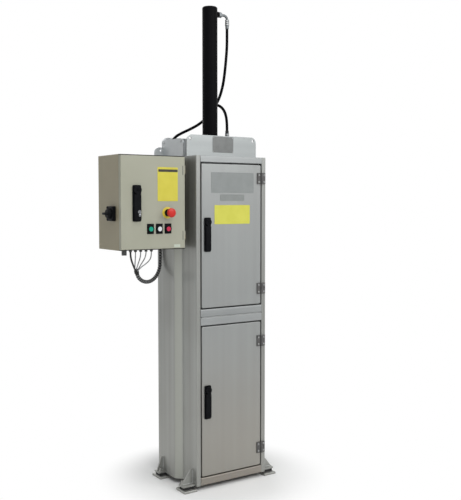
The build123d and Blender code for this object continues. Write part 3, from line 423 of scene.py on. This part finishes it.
# Doors: bare plates stuck to the upper door, one grey, a thin grey strip under it and one yellow.
# They are left plain, each with a fine sunk border line.
# Vinyl film on a stiff backing: even colour, a soft sheen, a fine grain. The greys hardly differ from the
# door, the yellow is clear and a little green.
door_grey = surface(
    "grey_plate_vinyl", ("#808483", "#878b8a"), roughness=(0.42, 0.52), metallic=0.2, mottle=50.0,
    grain=1.2, relief=0.05,
)
strip_grey = surface(
    "pale_strip_vinyl", ("#7e8280", "#858987"), roughness=(0.42, 0.52), metallic=0.2, mottle=50.0,
    grain=1.2, relief=0.05,
)
plate_yellow = surface(
    "yellow_plate_vinyl", ("#c9c74a", "#d0ce54"), roughness=(0.4, 0.5), mottle=45.0, grain=1.2, relief=0.05,
)
door_face_y = -151.5
for name, width, height, middle_x, middle_z, finish, slot in (
    ("door_grey_plate", 226.0, 90.0, 4.0, 1364.0, door_grey, "plain_steel"),
    ("door_grey_strip", 128.0, 28.0, 2.0, 1298.0, strip_grey, "plain_steel"),
    ("door_yellow_plate", 188.0, 84.0, 2.0, 1223.0, plate_yellow, "yellow_plastic"),
):
    shape = bmesh.new()
    join(shape, plate(width, height, 0.9, 3.0, 0.3, 1.8), at(middle_x, door_face_y, middle_z, facing_front))
    piece(name, shape, finish, "upper_door", 20)


# Hinges: square cast leaves in a dull grey-brown, each fixed by bright socket screws. The screws of the
# door leaf travel with the door, those of the frame leaf stay with the post.
def socket_screw(radius, height, socket):
    """A screw head with an eased rim and a six-sided socket, in millimetres."""
    head = turned([(0, 0), (radius, 0), (radius, height * 0.7), (radius * 0.86, height)])
    rim = [edge for edge in head.edges if edge.is_boundary]
    mouth = bmesh.ops.create_circle(head, segments=6, radius=socket * mm)["verts"]
    bmesh.ops.translate(head, vec=(0, 0, height * mm), verts=mouth)
    mouth = list({edge for vert in mouth for edge in vert.link_edges})
    bmesh.ops.bridge_loops(head, edges=rim + mouth)
    next_ring(head, mouth, Matrix.Translation((0, 0, -0.6 * height * mm)))
    bmesh.ops.holes_fill(head, edges=head.edges[:], sides=0)
    return head


# Cast zinc: dull, grey-brown, finely pitted.
hinge_cast = surface(
    "cast_hinge_metal", ("#555454", "#626160"), roughness=(0.45, 0.62), metallic=0.15, mottle=18.0,
    grain=0.9, relief=0.12, specular=0.2,
)
paint(hinge_cast, "frame_hinge_leaves", "upper_door_hinge_leaves", "lower_door_hinge_leaves")
paint(bright_steel, "hinge_pins", "box_hinge_pins")
leaf_face_y, screw_rise = -155.8, 15.5
for door, middles in (("upper_door", (1385.0, 884.0)), ("lower_door", (642.5, 143.5))):
    for screw_x, carrier in ((145.25, door), (173.45, "cabinet")):
        screws = bmesh.new()
        for middle in middles:
            for rise in (-screw_rise, screw_rise):
                screw = socket_screw(4.4, 1.9, 2.3)
                join(screws, screw, at(screw_x, leaf_face_y, middle + rise, facing_front))
        piece(f"{door}_hinge_screws_{carrier}", screws, bright_steel, carrier)


# Handles: swing handles moulded in black glass-filled nylon, with a lock face on the turning head and
# finger ribs near the free end of the lever. The box handle has a chromed key barrel low on its lever.
def keyway(width, height):
    """A lock face's key slot: a small raised frame with its middle sunk."""
    part = plate(width, height, 0.9, width * 0.3, 0.15)
    front = max(part.faces, key=lambda face: (round(face.calc_center_median().z / mm, 3), face.calc_area()))
    bmesh.ops.inset_region(part, faces=[front], thickness=width * 0.2 * mm)
    bmesh.ops.inset_region(part, faces=[front], thickness=0.1 * mm, depth=-1.6 * mm)
    return part


# Glass-filled nylon: black, satin, with the spark grain of the mould.
black_nylon = surface(
    "black_moulded_nylon", ("#0c0d10", "#131417"), roughness=(0.45, 0.6), mottle=30.0, grain=0.7,
    relief=0.15, specular=0.06,
)
# Polished chrome plate on brass: bright, with soft dark reflections.
key_chrome = surface(
    "chromed_key_barrel", ("#707274", "#828486"), roughness=(0.2, 0.32), metallic=1.0, mottle=20.0,
    grain=0.8,
)
for name in ("upper", "lower", "box"):
    paint(black_nylon, f"{name}_handle_base", f"{name}_handle_spindle", f"{name}_handle_lever")
lock_rise, rib_drop, rib_pitch = 3.8, 118.0, 6.0
for name, hub_x, hub_y, hub_z, grip in (
    ("upper", -129.0, -165.1, 1190.804, 19.0),
    ("lower", -129.0, -165.1, 448.851, 19.0),
    ("box", -457.5, -138.1, 1329.0, 24.0),
):
    lock = bmesh.new()
    ring = [(0, 0.25), (4.9, 0.25), (5.2, 0.9), (6.0, 0.9), (6.3, 0.5), (6.5, 0), (0, 0)]
    join(lock, turned(ring, 32), at(hub_x, hub_y, hub_z + lock_rise, facing_front))
    join(lock, keyway(2.6, 6.0), at(hub_x, hub_y, hub_z + lock_rise, facing_front))
    piece(f"{name}_handle_lock_face", lock, black_nylon, f"{name}_handle_spindle")
    ribs = bmesh.new()
    for step in range(4):
        rib = plate(grip, 2.4, 1.0, 1.0, 0.6)
        join(ribs, rib, at(hub_x, hub_y, hub_z - rib_drop + rib_pitch * step, facing_front))
    piece(f"{name}_handle_ribs", ribs, black_nylon, f"{name}_handle_lever")
key_barrel = bmesh.new()
barrel = [(0, 0), (8.0, 0), (8.0, 1.6), (7.4, 2.4), (6.2, 2.4), (5.8, 2.0), (0, 2.0)]
lever_face_y, barrel_x, barrel_z = -138.1, -451.0, 1237.0
join(key_barrel, turned(barrel, 32), at(barrel_x, lever_face_y, barrel_z, facing_front))
join(key_barrel, keyway(2.6, 6.0), at(barrel_x, lever_face_y - 1.8, barrel_z, facing_front))
join(key_barrel, plate(10.0, 11.0, 1.6, 2.5, 0.5), at(-450.0, lever_face_y, 1223.0, facing_front))
piece("box_key_barrel", key_barrel, key_chrome, "box_handle_lever")


# Press: a black enamelled cylinder welded to its flange, held down by four socket screws; a hard chromed
# rod and a ribbed steel press plate inside. Plated elbows carry the hoses.
# Black machine enamel: nearly black, a soft shine with a faint orange-peel ripple.
black_enamel = surface(
    "black_cylinder_enamel", ("#060608", "#0a0a0c"), roughness=(0.42, 0.52), mottle=90.0, grain=3.0,
    relief=0.03, specular=0.04,
)
# Ground hard chrome: a clear mirror with the faintest haze.
hard_chrome = surface(
    "hard_chrome_rod", ("#cfd0d2", "#d8d9da"), roughness=(0.08, 0.14), metallic=1.0, mottle=80.0, grain=0.8,
)
# Passivated zinc plate on turned steel: mid grey, uneven, a soft shine.
fitting_zinc = surface(
    "bright_zinc_fittings", ("#5c6062", "#74787a"), roughness=(0.32, 0.45), metallic=0.8, mottle=14.0,
    grain=0.8,
)
# Hot-rolled plate worn bright by the waste: dull, blotchy grey.
press_steel = surface(
    "dull_press_steel", ("#7f8284", "#8f9294"), roughness=(0.4, 0.6), metallic=0.8, mottle=70.0, grain=1.2,
    relief=0.08,
)
paint(black_enamel, "cylinder_barrel", "cylinder_flange")
paint(hard_chrome, "piston_rod")
paint(fitting_zinc, "hose_fittings")
paint(press_steel, "press_plate")
flange_screws = bmesh.new()
ram_y, flange_top, flange_screw_reach = 32.5, 1498.0, 46.0
for screw_x in (-flange_screw_reach, flange_screw_reach):
    for screw_y in (ram_y - flange_screw_reach, ram_y + flange_screw_reach):
        join(flange_screws, socket_screw(8.0, 9.0, 4.6), at(screw_x, screw_y, flange_top))
piece("cylinder_flange_screws", flange_screws, zinc_plate, "cabinet")
facing_right = Matrix.Rotation(math.radians(90), 4, "Y")
cylinder_welds = bmesh.new()
foot_ring = [(34.5, 0), (40.0, 0), (39.4, 1.8), (37.6, 3.4), (35.4, 4.4), (34.5, 4.6)]
join(cylinder_welds, turned(foot_ring, 48), at(0, ram_y, flange_top))
cap_disc = [(0, 1.4), (21.0, 1.4), (22.4, 1.0), (23.0, 0), (0, 0)]
cylinder_top = 2168.0
join(cylinder_welds, turned(cap_disc, 48), at(0, ram_y, cylinder_top))
for port_z in (2140.0, 1540.0):
    port_ring = [(12.6, 0), (18.0, 0), (17.0, 2.4), (15.0, 4.4), (13.4, 5.4), (12.6, 5.6)]
    join(cylinder_welds, turned(port_ring, 32), at(31.5, ram_y, port_z, facing_right))
piece("cylinder_welds_and_cap", cylinder_welds, black_enamel, "cabinet")
crimps = bmesh.new()
ferrule_x = 94.0
for low, high in ((2094.0, 2122.0), (1558.0, 1600.0)):
    for share in (0.2, 0.5, 0.8):
        ring = [(9.3, -2.2), (10.2, -1.8), (10.5, -1.0), (10.5, 1.0), (10.2, 1.8), (9.3, 2.2)]
        join(crimps, turned(ring), at(ferrule_x, ram_y, low + share * (high - low)))
piece("ferrule_crimp_rings", crimps, bright_steel, "cabinet")


# Hoses: two braided hydraulic hoses with a smooth black rubber cover. Each leaves its ferrule straight,
# the upper one through the ferrule's plain skirt and the lower one through a short black sleeve, and goes
# back down to a coupling on the roof.
def cord_curve(name, points, diameter=None):
    """A smooth line whose control points are a cord's route, round where it has a diameter."""
    curve = bpy.data.curves.new(name, "CURVE")
    curve.dimensions = "3D"
    curve.resolution_u = 8
    if diameter:
        curve.bevel_depth = diameter / 2
        curve.bevel_resolution = 6
        curve.use_fill_caps = True
    line = curve.splines.new("NURBS")
    line.points.add(len(points) - 1)
    for point, place in zip(line.points, points):
        point.co = (*place, 1.0)
    line.order_u = 3
    line.use_endpoint_u = True
    made = bpy.data.objects.new(name, curve)
    bpy.context.scene.collection.objects.link(made)
    return made


# Extruded nitrile cover: black, a slow unevenness, a soft shine.
hose_rubber = surface(
    "hose_cover_rubber", ("#0b0b0d", "#111114"), roughness=(0.7, 0.8), mottle=25.0, grain=1.2, relief=0.05,
    specular=0.02,
)
for name, length, sleeve_low, sleeve_high, sleeve_finish, sleeve_slot, route in (
    ("upper_hose", 0.715, 2080.0, 2094.5, fitting_zinc, "plain_steel", [
        (94.0, 32.5, 2094.0), (94.0, 32.5, 2048.0), (92.0, 30.0, 1996.0), (84.5, 27.0, 1934.0),
        (75.0, 24.0, 1870.0), (66.0, 26.0, 1812.0), (59.0, 50.0, 1752.0), (37.0, 87.0, 1694.0),
        (-6.0, 102.0, 1647.0), (-58.0, 109.0, 1618.0), (-106.0, 110.0, 1597.0), (-143.0, 108.0, 1577.0),
        (-162.0, 102.0, 1552.0), (-167.0, 97.0, 1526.0), (-167.0, 97.0, 1508.0),
    ]),
    ("lower_hose", 0.418, 1599.5, 1612.0, pad_rubber, "black_rubber", [
        (94.0, 32.5, 1600.0), (94.0, 32.5, 1628.0), (93.2, 33.6, 1656.0), (90.9, 37.0, 1683.0),
        (85.2, 45.2, 1708.0), (74.6, 60.4, 1727.5), (59.4, 82.3, 1736.5), (47.0, 105.6, 1732.5),
        (41.0, 124.0, 1716.0), (38.5, 134.5, 1691.0), (37.5, 138.5, 1663.0), (36.0, 139.5, 1628.0),
        (30.0, 138.5, 1592.0), (20.3, 136.4, 1556.0), (20.3, 136.4, 1520.0),
    ]),
):
    points = [tuple(c * mm for c in point) for point in route]
    hose = cord_curve(f"{name}_cover", points, 13.0 * mm)
    hose.data.materials.append(hose_rubber)
    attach(hose, "cabinet")
    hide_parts(name)
    sleeve = bmesh.new()
    reach = sleeve_high - sleeve_low
    sides = [(6.6, 0), (7.6, 0.6), (8.2, 1.6), (8.2, reach - 1.6), (7.6, reach - 0.6), (6.6, reach)]
    join(sleeve, turned(sides, 32), at(ferrule_x, ram_y, sleeve_low))
    sleeve = piece(f"{name}_sleeve", sleeve, sleeve_finish, "cabinet")


# Control box: a folded steel wall box, powder coated pebble grey. The gasket's dark rubber edges, set forward into
# the gaps above and below the door, are partly painted shade for the shadow line there; a bare yellow plate, a
# pale patch and two hinge strips are on it.
# Polyester powder coat on the door: matt, even, with the slight ripple of the cured coat.
powder_coat = surface(
    "pebble_grey_powder_coat", ("#9d9d8c", "#a3a393"), roughness=(0.42, 0.54), mottle=180.0, grain=2.2,
    relief=0.08,
)
# Hot-dip zinc: pale grey with a spangle of a centimetre or two.
galvanised = surface(
    "galvanised_mounting_plate", ("#a9abab", "#b9bbbb"), roughness=(0.4, 0.6), metallic=0.7, mottle=16.0,
    grain=1.5,
)
# Grey enamel on the hinge strips: flat and darker than the coat.
strip_paint = surface(
    "grey_hinge_strip_paint", ("#6b6c64", "#76776f"), roughness=(0.45, 0.55), mottle=30.0, grain=1.5,
    relief=0.05,
)
# Vinyl film in a pale green grey: even, a soft sheen.
patch_vinyl = surface(
    "pale_green_grey_vinyl", ("#b9c1b2", "#c1c9ba"), roughness=(0.42, 0.52), mottle=20.0, grain=1.5,
)
# Yellow vinyl film, warmer than the one on the machine's door.
box_yellow = surface(
    "box_plate_vinyl", ("#c8bd38", "#cfc442"), roughness=(0.4, 0.5), mottle=45.0, grain=1.2, relief=0.05,
)
# Screen ink: brown black, flat.
band_ink = surface("dark_header_ink", ("#1f1c10", "#28241a"), roughness=(0.45, 0.55), mottle=20.0, grain=1.5)
# The same coat on the body, painted darker and browner than the door as painted shade for the body's sides, which
# lie out of the lamps' light.
body_coat_painted_shade = surface(
    "shaded_grey_powder_coat", ("#948c73", "#9b937b"), roughness=(0.42, 0.54), mottle=180.0, grain=2.2,
    relief=0.08,
)
paint(powder_coat, "box_door")
paint(body_coat_painted_shade, "box_body")
paint(galvanised, "box_mounting_plate")
# Painted shade: the gasket strips come forward into the gaps above and below the door, dark, for the shadow line
# there.
gasket_shade_strips = bmesh.new()
box_middle_x, gasket_back, gasket_depth, gasket_height = -377.8, -104.0, 17.0, 3.3
for middle_z in (1473.95, 1078.05):
    gasket = plate(304.4, gasket_height, gasket_depth, 0.8, 0.4)
    join(gasket_shade_strips, gasket, at(box_middle_x, gasket_back, middle_z, facing_front))
piece("box_gasket_shade_strips", gasket_shade_strips, pad_rubber, "cabinet")
box_face_y = -124.5
for name, width, height, middle_x, lift, middle_z, finish, slot in (
    ("box_yellow_plate", 98.0, 144.0, -310.0, 0.0, 1354.0, box_yellow, "yellow_plastic"),
    ("box_plate_band", 93.0, 11.0, -308.5, 0.5, 1411.5, band_ink, "black_plastic"),
    ("box_pale_patch", 30.0, 13.0, -265.0, 0.0, 1090.5, patch_vinyl, "white_plastic"),
    ("box_hinge_strip_high", 4.0, 39.0, -236.0, 0.0, 1414.5, strip_paint, "box_paint"),
    ("box_hinge_strip_low", 4.0, 39.0, -236.0, 0.0, 1135.0, strip_paint, "box_paint"),
):
    shape = bmesh.new()
    join(shape, plate(width, height, 0.8, 1.5, 0.3), at(middle_x, box_face_y - lift, middle_z, facing_front))
    piece(name, shape, finish, "box_door", 20)


# Main switch: a square black base on the box's left side, with a turned knob and a grip bar across it.
# The knob's skirt tapers up to the bar and has shallow finger ribs round it; the screws are blackened.
facing_left = Matrix.Rotation(math.radians(-90), 4, "Y")
# Moulded polyamide: black, satin, finely grained.
switch_black = surface(
    "black_moulded_switch", ("#0c0d0f", "#121316"), roughness=(0.4, 0.55), mottle=20.0, grain=0.7,
    relief=0.1, specular=0.08,
)
paint(switch_black, "main_switch_base")
knob = bmesh.new()
switch_y, switch_z, knob_ribs = -45.0, 1230.0, 12
knob_seat = at(-544.3, switch_y, switch_z, facing_left)
skirt = [(0, -9.7), (4.0, -9.7), (4.0, 0), (21.2, 0), (22.0, 0.8), (22.0, 4.0)]
skirt += [(20.6, 7.0), (18.4, 12.6), (17.2, 13.9), (0, 14.0)]
join(knob, turned(skirt, 36), knob_seat)
bar_rise = 14.0
bar = plate(12.0, 36.0, bar_rise, 4.5, 2.5)
upper_half = [vert for vert in bar.verts if vert.co.z > bar_rise * mm / 2]
bmesh.ops.scale(bar, vec=(0.8, 0.86, 1), verts=upper_half)
join(knob, bar, at(-558.2, switch_y, switch_z, facing_left))
stand = Matrix.Translation((0, 21.4 * mm, 3.6 * mm)) @ Matrix.Rotation(math.radians(-90), 4, "X")
for step in range(knob_ribs):
    round_knob = Matrix.Rotation(math.tau * step / knob_ribs, 4, "Z")
    join(knob, plate(3.0, 7.0, 1.4, 1.2, 0.5), knob_seat @ round_knob @ stand)
knob = piece("main_switch_grip", knob, switch_black, "main_switch_knob")
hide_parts("main_switch_knob")
switch_screws = bmesh.new()
switch_reach = 25.0
for screw_y in (switch_y - switch_reach, switch_y + switch_reach):
    for screw_z in (switch_z - switch_reach, switch_z + switch_reach):
        join(switch_screws, socket_screw(3.6, 1.4, 1.8), at(-544.0, screw_y, screw_z, facing_left))
piece("main_switch_screws", switch_screws, black_enamel, "cabinet")


# Stop and push buttons: a red mushroom on a black sleeve in a yellow disc, and three caps in black
# bezels, green, white and red. The caps are moulded plastic with a slight dish for the finger.
# Moulded nylon disc: warm yellow, even, satin.
stop_yellow = surface(
    "yellow_moulded_disc", ("#dac443", "#e2cc4c"), roughness=(0.35, 0.45), mottle=20.0, grain=0.8,
)
# Moulded nylon mushroom: signal red, even, a good gloss.
stop_red = surface(
    "red_moulded_cap", ("#c2221b", "#cc2a22"), roughness=(0.25, 0.35), mottle=20.0, grain=0.8,
    specular=0.35,
)
paint(stop_yellow, "stop_base")
paint(switch_black, "button_bezels", "switchgear")
mushroom = bmesh.new()
crown = [(0, -15.0), (7.9, -15.0), (7.9, 0), (10.0, 0.1), (13.6, 0.9), (16.8, 2.4), (19.0, 4.4), (19.9, 6.6)]
crown += [(20.0, 9.6), (19.5, 12.4), (18.0, 15.0), (15.6, 16.7), (12.0, 17.7), (6.0, 18.0), (0, 18.0)]
stop_x, stop_z = -312.5, 1233.0
join(mushroom, turned(crown, 48), at(stop_x, -152.0, stop_z, facing_front))
mushroom = piece("stop_mushroom", mushroom, stop_red, "stop_head", 50)
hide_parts("stop_head")
sleeve = bmesh.new()
folds = [(8.1, -4.0), (8.2, 6.4), (12.6, 6.8), (13.4, 7.6), (12.4, 9.0), (13.4, 10.4)]
folds += [(12.6, 12.0), (13.6, 13.6), (13.8, 15.6), (8.1, 15.6)]
join(sleeve, turned(folds, 32), at(stop_x, -137.0, stop_z, facing_front))
piece("stop_sleeve", sleeve, switch_black, "stop_head", 50)
collar = bmesh.new()
ring = [(15.05, 1.5), (15.5, 1.8), (15.5, 9.4), (14.8, 10.4), (9.2, 10.4), (9.2, 10.05)]
join(collar, turned(ring, 32), at(stop_x, -127.0, stop_z, facing_front))
piece("stop_collar_ring", collar, switch_black, "box_door", 50)
button_z, cap_back, bezel_face = 1164.5, -128.1, -131.6
for name, button_x, colours in (
    ("green", -394.0, ("#139a7e", "#18a588")),
    ("white", -352.0, ("#d0d4d5", "#d9dcdd")),
    ("red", -310.0, ("#bf2d4a", "#cb3653")),
):
    # Moulded acrylic: a clear even colour, a good gloss.
    finish = surface(
        f"{name}_moulded_cap", colours, roughness=(0.28, 0.38), mottle=20.0, grain=0.8, specular=0.22,
    )
    cap = bmesh.new()
    dish = [(0, 0.3), (9.7, 0.3), (10.0, 0.6), (10.0, 4.4), (9.7, 5.1)]
    dish += [(9.0, 5.5), (7.6, 5.4), (5.0, 5.0), (0, 4.8)]
    join(cap, turned(dish, 36), at(button_x, cap_back, button_z, facing_front))
    cap = piece(f"{name}_button_cap", cap, finish, f"{name}_button", 50)
    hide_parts(f"{name}_button")
    bezel = bmesh.new()
    ring = [(10.6, 0), (14.2, 0), (14.4, 0.5), (13.4, 1.1), (11.4, 0.9), (10.6, 0.3)]
    join(bezel, turned(ring, 36), at(button_x, bezel_face, button_z, facing_front))
    piece(f"{name}_button_ring", bezel, switch_black, "box_door", 50)


# Switchgear: three black contactors on a rail inside the box, each with terminal screws above and
# below and a grey slide on its nose. It shows only when the box door is open.
terminals = bmesh.new()
slides = bmesh.new()
# Moulded thermoplastic: light grey, even, satin.
slide_grey = surface(
    "grey_moulded_slide", ("#8b8d8e", "#979999"), roughness=(0.4, 0.5), mottle=12.0, grain=0.9,
)
gear_z, terminal_rise, terminal_y, nose_y = 1276.0, 29.5, 28.0, -7.0
for contactor_x in (-430.5, -377.5, -324.5):
    for terminal_x in (-14.0, 0.0, 14.0):
        for terminal_z in (gear_z - terminal_rise, gear_z + terminal_rise):
            screw = socket_screw(3.6, 1.6, 1.6)
            join(terminals, screw, at(contactor_x + terminal_x, terminal_y, terminal_z, facing_front))
    slide = plate(16.0, 12.0, 2.4, 3.2, 0.6, 1.8)
    join(slides, slide, at(contactor_x, nose_y, gear_z, facing_front))
piece("contactor_terminals", terminals, zinc_plate, "cabinet")
piece("contactor_slides", slides, slide_grey, "cabinet")


# Cables and conduit: PVC cables leave the glands straight down and gather in the mouth of a black
# corrugated nylon conduit, which swings back up behind the box and ends in a screwed elbow.
# Moulded nylon glands: dark grey, satin.
gland_grey = surface(
    "grey_nylon_glands", ("#46484a", "#525456"), roughness=(0.4, 0.52), mottle=12.0, grain=0.7, relief=0.08,
)
# PVC sheath, black on the thick cable and pale grey on the thin ones: soft, slightly waxy.
cable_black = surface(
    "black_cable_sheath", ("#161617", "#1d1d1e"), roughness=(0.45, 0.6), mottle=15.0, grain=0.9,
)
cable_grey = surface(
    "grey_cable_sheath", ("#a3a5a8", "#afb1b4"), roughness=(0.45, 0.6), mottle=15.0, grain=0.9,
)
# Corrugated nylon: black, with painted shade in the grooves, which stay black, and a painted highlight along the
# crests, a paler grey in patches of 15 mm.
patch_size = 15.0
conduit_nylon, tree = bare_material("black_corrugated_nylon")
rise = add(tree, "ShaderNodeAttribute", attribute_name="crest").outputs["Fac"]
spot = add(tree, "ShaderNodeTexCoord").outputs["Object"]
patch_noise = {"Vector": spot, "Scale": 1 / (patch_size * mm), "Detail": 2.0}
patch_noise = add(tree, "ShaderNodeTexNoise", patch_noise).outputs["Fac"]
crest_highlight = {"Value": patch_noise, "From Min": 0.3, "From Max": 0.7, "To Min": 0.7, "To Max": 1.0}
crest_highlight = add(tree, "ShaderNodeMapRange", crest_highlight).outputs[0]
crest_highlight = add(tree, "ShaderNodeMath", {0: rise, 1: crest_highlight}, operation="MULTIPLY").outputs[0]
# Painted light: the crests are painted pale and the grooves black, for the light the crests catch and the shade in
# the grooves.
tint = {0: crest_highlight, 6: srgb("#050506"), 7: srgb("#7d7e7f")}
tint = add(tree, "ShaderNodeMix", tint, data_type="RGBA").outputs[2]
gloss = add(tree, "ShaderNodeMapRange", {"Value": patch_noise, "To Min": 0.35, "To Max": 0.55}).outputs[0]
finish = {"Base Color": tint, "Roughness": gloss, "Specular IOR Level": 0.3}
shader = add(tree, "ShaderNodeBsdfPrincipled", finish)
add(tree, "ShaderNodeOutputMaterial", {"Surface": shader.outputs[0]})
paint(gland_grey, "cable_glands")
paint(switch_black, "conduit_elbow")
for step, (length, thickness, sheath, route) in enumerate((
    (0.089, 8.0, cable_black, [
        (-436.0, -19.0, 1063.0), (-436.0, -19.0, 1041.0), (-424.0, -17.0, 1008.0), (-409.0, -13.0, 980.0),
    ]),
    (0.086, 5.0, cable_grey, [
        (-412.0, -19.0, 1063.0), (-412.0, -19.0, 1041.0), (-413.0, -15.0, 1009.0), (-409.5, -5.5, 979.0),
    ]),
    (0.087, 5.0, cable_grey, [
        (-387.0, -19.0, 1063.0), (-387.0, -19.0, 1042.0), (-398.0, -15.0, 1010.0), (-404.5, -7.0, 980.0),
    ]),
    (0.096, 5.0, cable_grey, [
        (-361.0, -19.0, 1063.0), (-361.0, -19.0, 1042.0), (-384.0, -16.0, 1008.0), (-402.0, -12.5, 979.0),
    ]),
    (0.116, 5.0, cable_grey, [
        (-335.0, -19.0, 1063.0), (-335.0, -19.0, 1043.0), (-343.0, -18.5, 1024.0),
        (-364.0, -18.5, 1008.0), (-387.0, -20.5, 996.0), (-403.5, -18.5, 979.0),
    ]),
)):
    points = [tuple(c * mm for c in point) for point in route]
    cable = cord_curve(f"control_cable_{step + 1}", points, thickness * mm)
    cable.data.materials.append(sheath)
    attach(cable, "cabinet")
    if step == 0:
        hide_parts("control_cables")

conduit_route = [
    (-223.0, 108.0, 1080.0), (-223.0, 108.0, 1050.0), (-224.0, 106.0, 1016.0), (-231.0, 98.0, 978.0),
    (-253.0, 83.0, 946.0), (-288.0, 62.0, 926.0), (-330.0, 38.0, 922.0), (-368.0, 17.0, 934.0),
    (-395.0, 0.0, 957.0), (-405.0, -12.0, 983.0),
]
conduit_line = cord_curve("conduit_line", [tuple(c * mm for c in point) for point in conduit_route])
conduit_line.data.resolution_u = 64
bpy.context.view_layer.update()
line_mesh = bpy.data.meshes.new_from_object(conduit_line)
path = [vert.co.copy() for vert in line_mesh.vertices]
bpy.data.objects.remove(conduit_line)
# The corrugations are drawn several times coarser than the real ones, so that they show.
tube = bmesh.new()
crest, groove, pitch, sides, steepness = 9.0 * mm, 6.2 * mm, 13.0 * mm, 16, 2.0
heading = (path[1] - path[0]).normalized()
lie = Vector((0, 0, 1)).rotation_difference(heading).to_matrix().to_4x4()
stance = Matrix.Translation(path[0]) @ lie @ Matrix.Scale(crest, 4)
bmesh.ops.create_circle(tube, segments=sides, radius=1.0, matrix=stance)
ring = tube.edges[:]
travelled, crests = 0.0, [1.0] * sides
for behind, here, ahead in zip(path, path[1:], [*path[2:], path[-1] * 2 - path[-2]]):
    travelled += (here - behind).length
    wave = math.tanh(steepness * math.cos(math.tau * travelled / pitch)) / math.tanh(steepness)
    wave = 0.5 + 0.5 * wave
    new_heading = (ahead - behind).normalized()
    lie = heading.rotation_difference(new_heading).to_matrix().to_4x4() @ lie
    heading = new_heading
    crests += [wave] * sides
    next_stance = Matrix.Translation(here) @ lie @ Matrix.Scale(groove + (crest - groove) * wave, 4)
    ring = next_ring(tube, ring, next_stance @ stance.inverted())
    stance = next_stance
bmesh.ops.holes_fill(tube, edges=tube.edges[:], sides=0)
bmesh.ops.recalc_face_normals(tube, faces=tube.faces[:])
conduit = piece("corrugated_conduit", tube, conduit_nylon, "cabinet", 70)
conduit.data.attributes.new("crest", "FLOAT", "POINT").data.foreach_set("value", crests)
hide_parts("cable_conduit")
mouth = bmesh.new()
cuff = [(7.0, -16.0), (9.6, -16.0), (10.2, -15.0), (10.2, -2.0), (9.4, 1.0), (8.2, 3.0), (7.0, 3.4)]
facing_out = heading.to_track_quat("Z", "Y").to_matrix().to_4x4()
join(mouth, turned(cuff, 32), Matrix.Translation(path[-1]) @ facing_out)
mouth = piece("conduit_mouth_sleeve", mouth, pad_rubber, "cabinet")
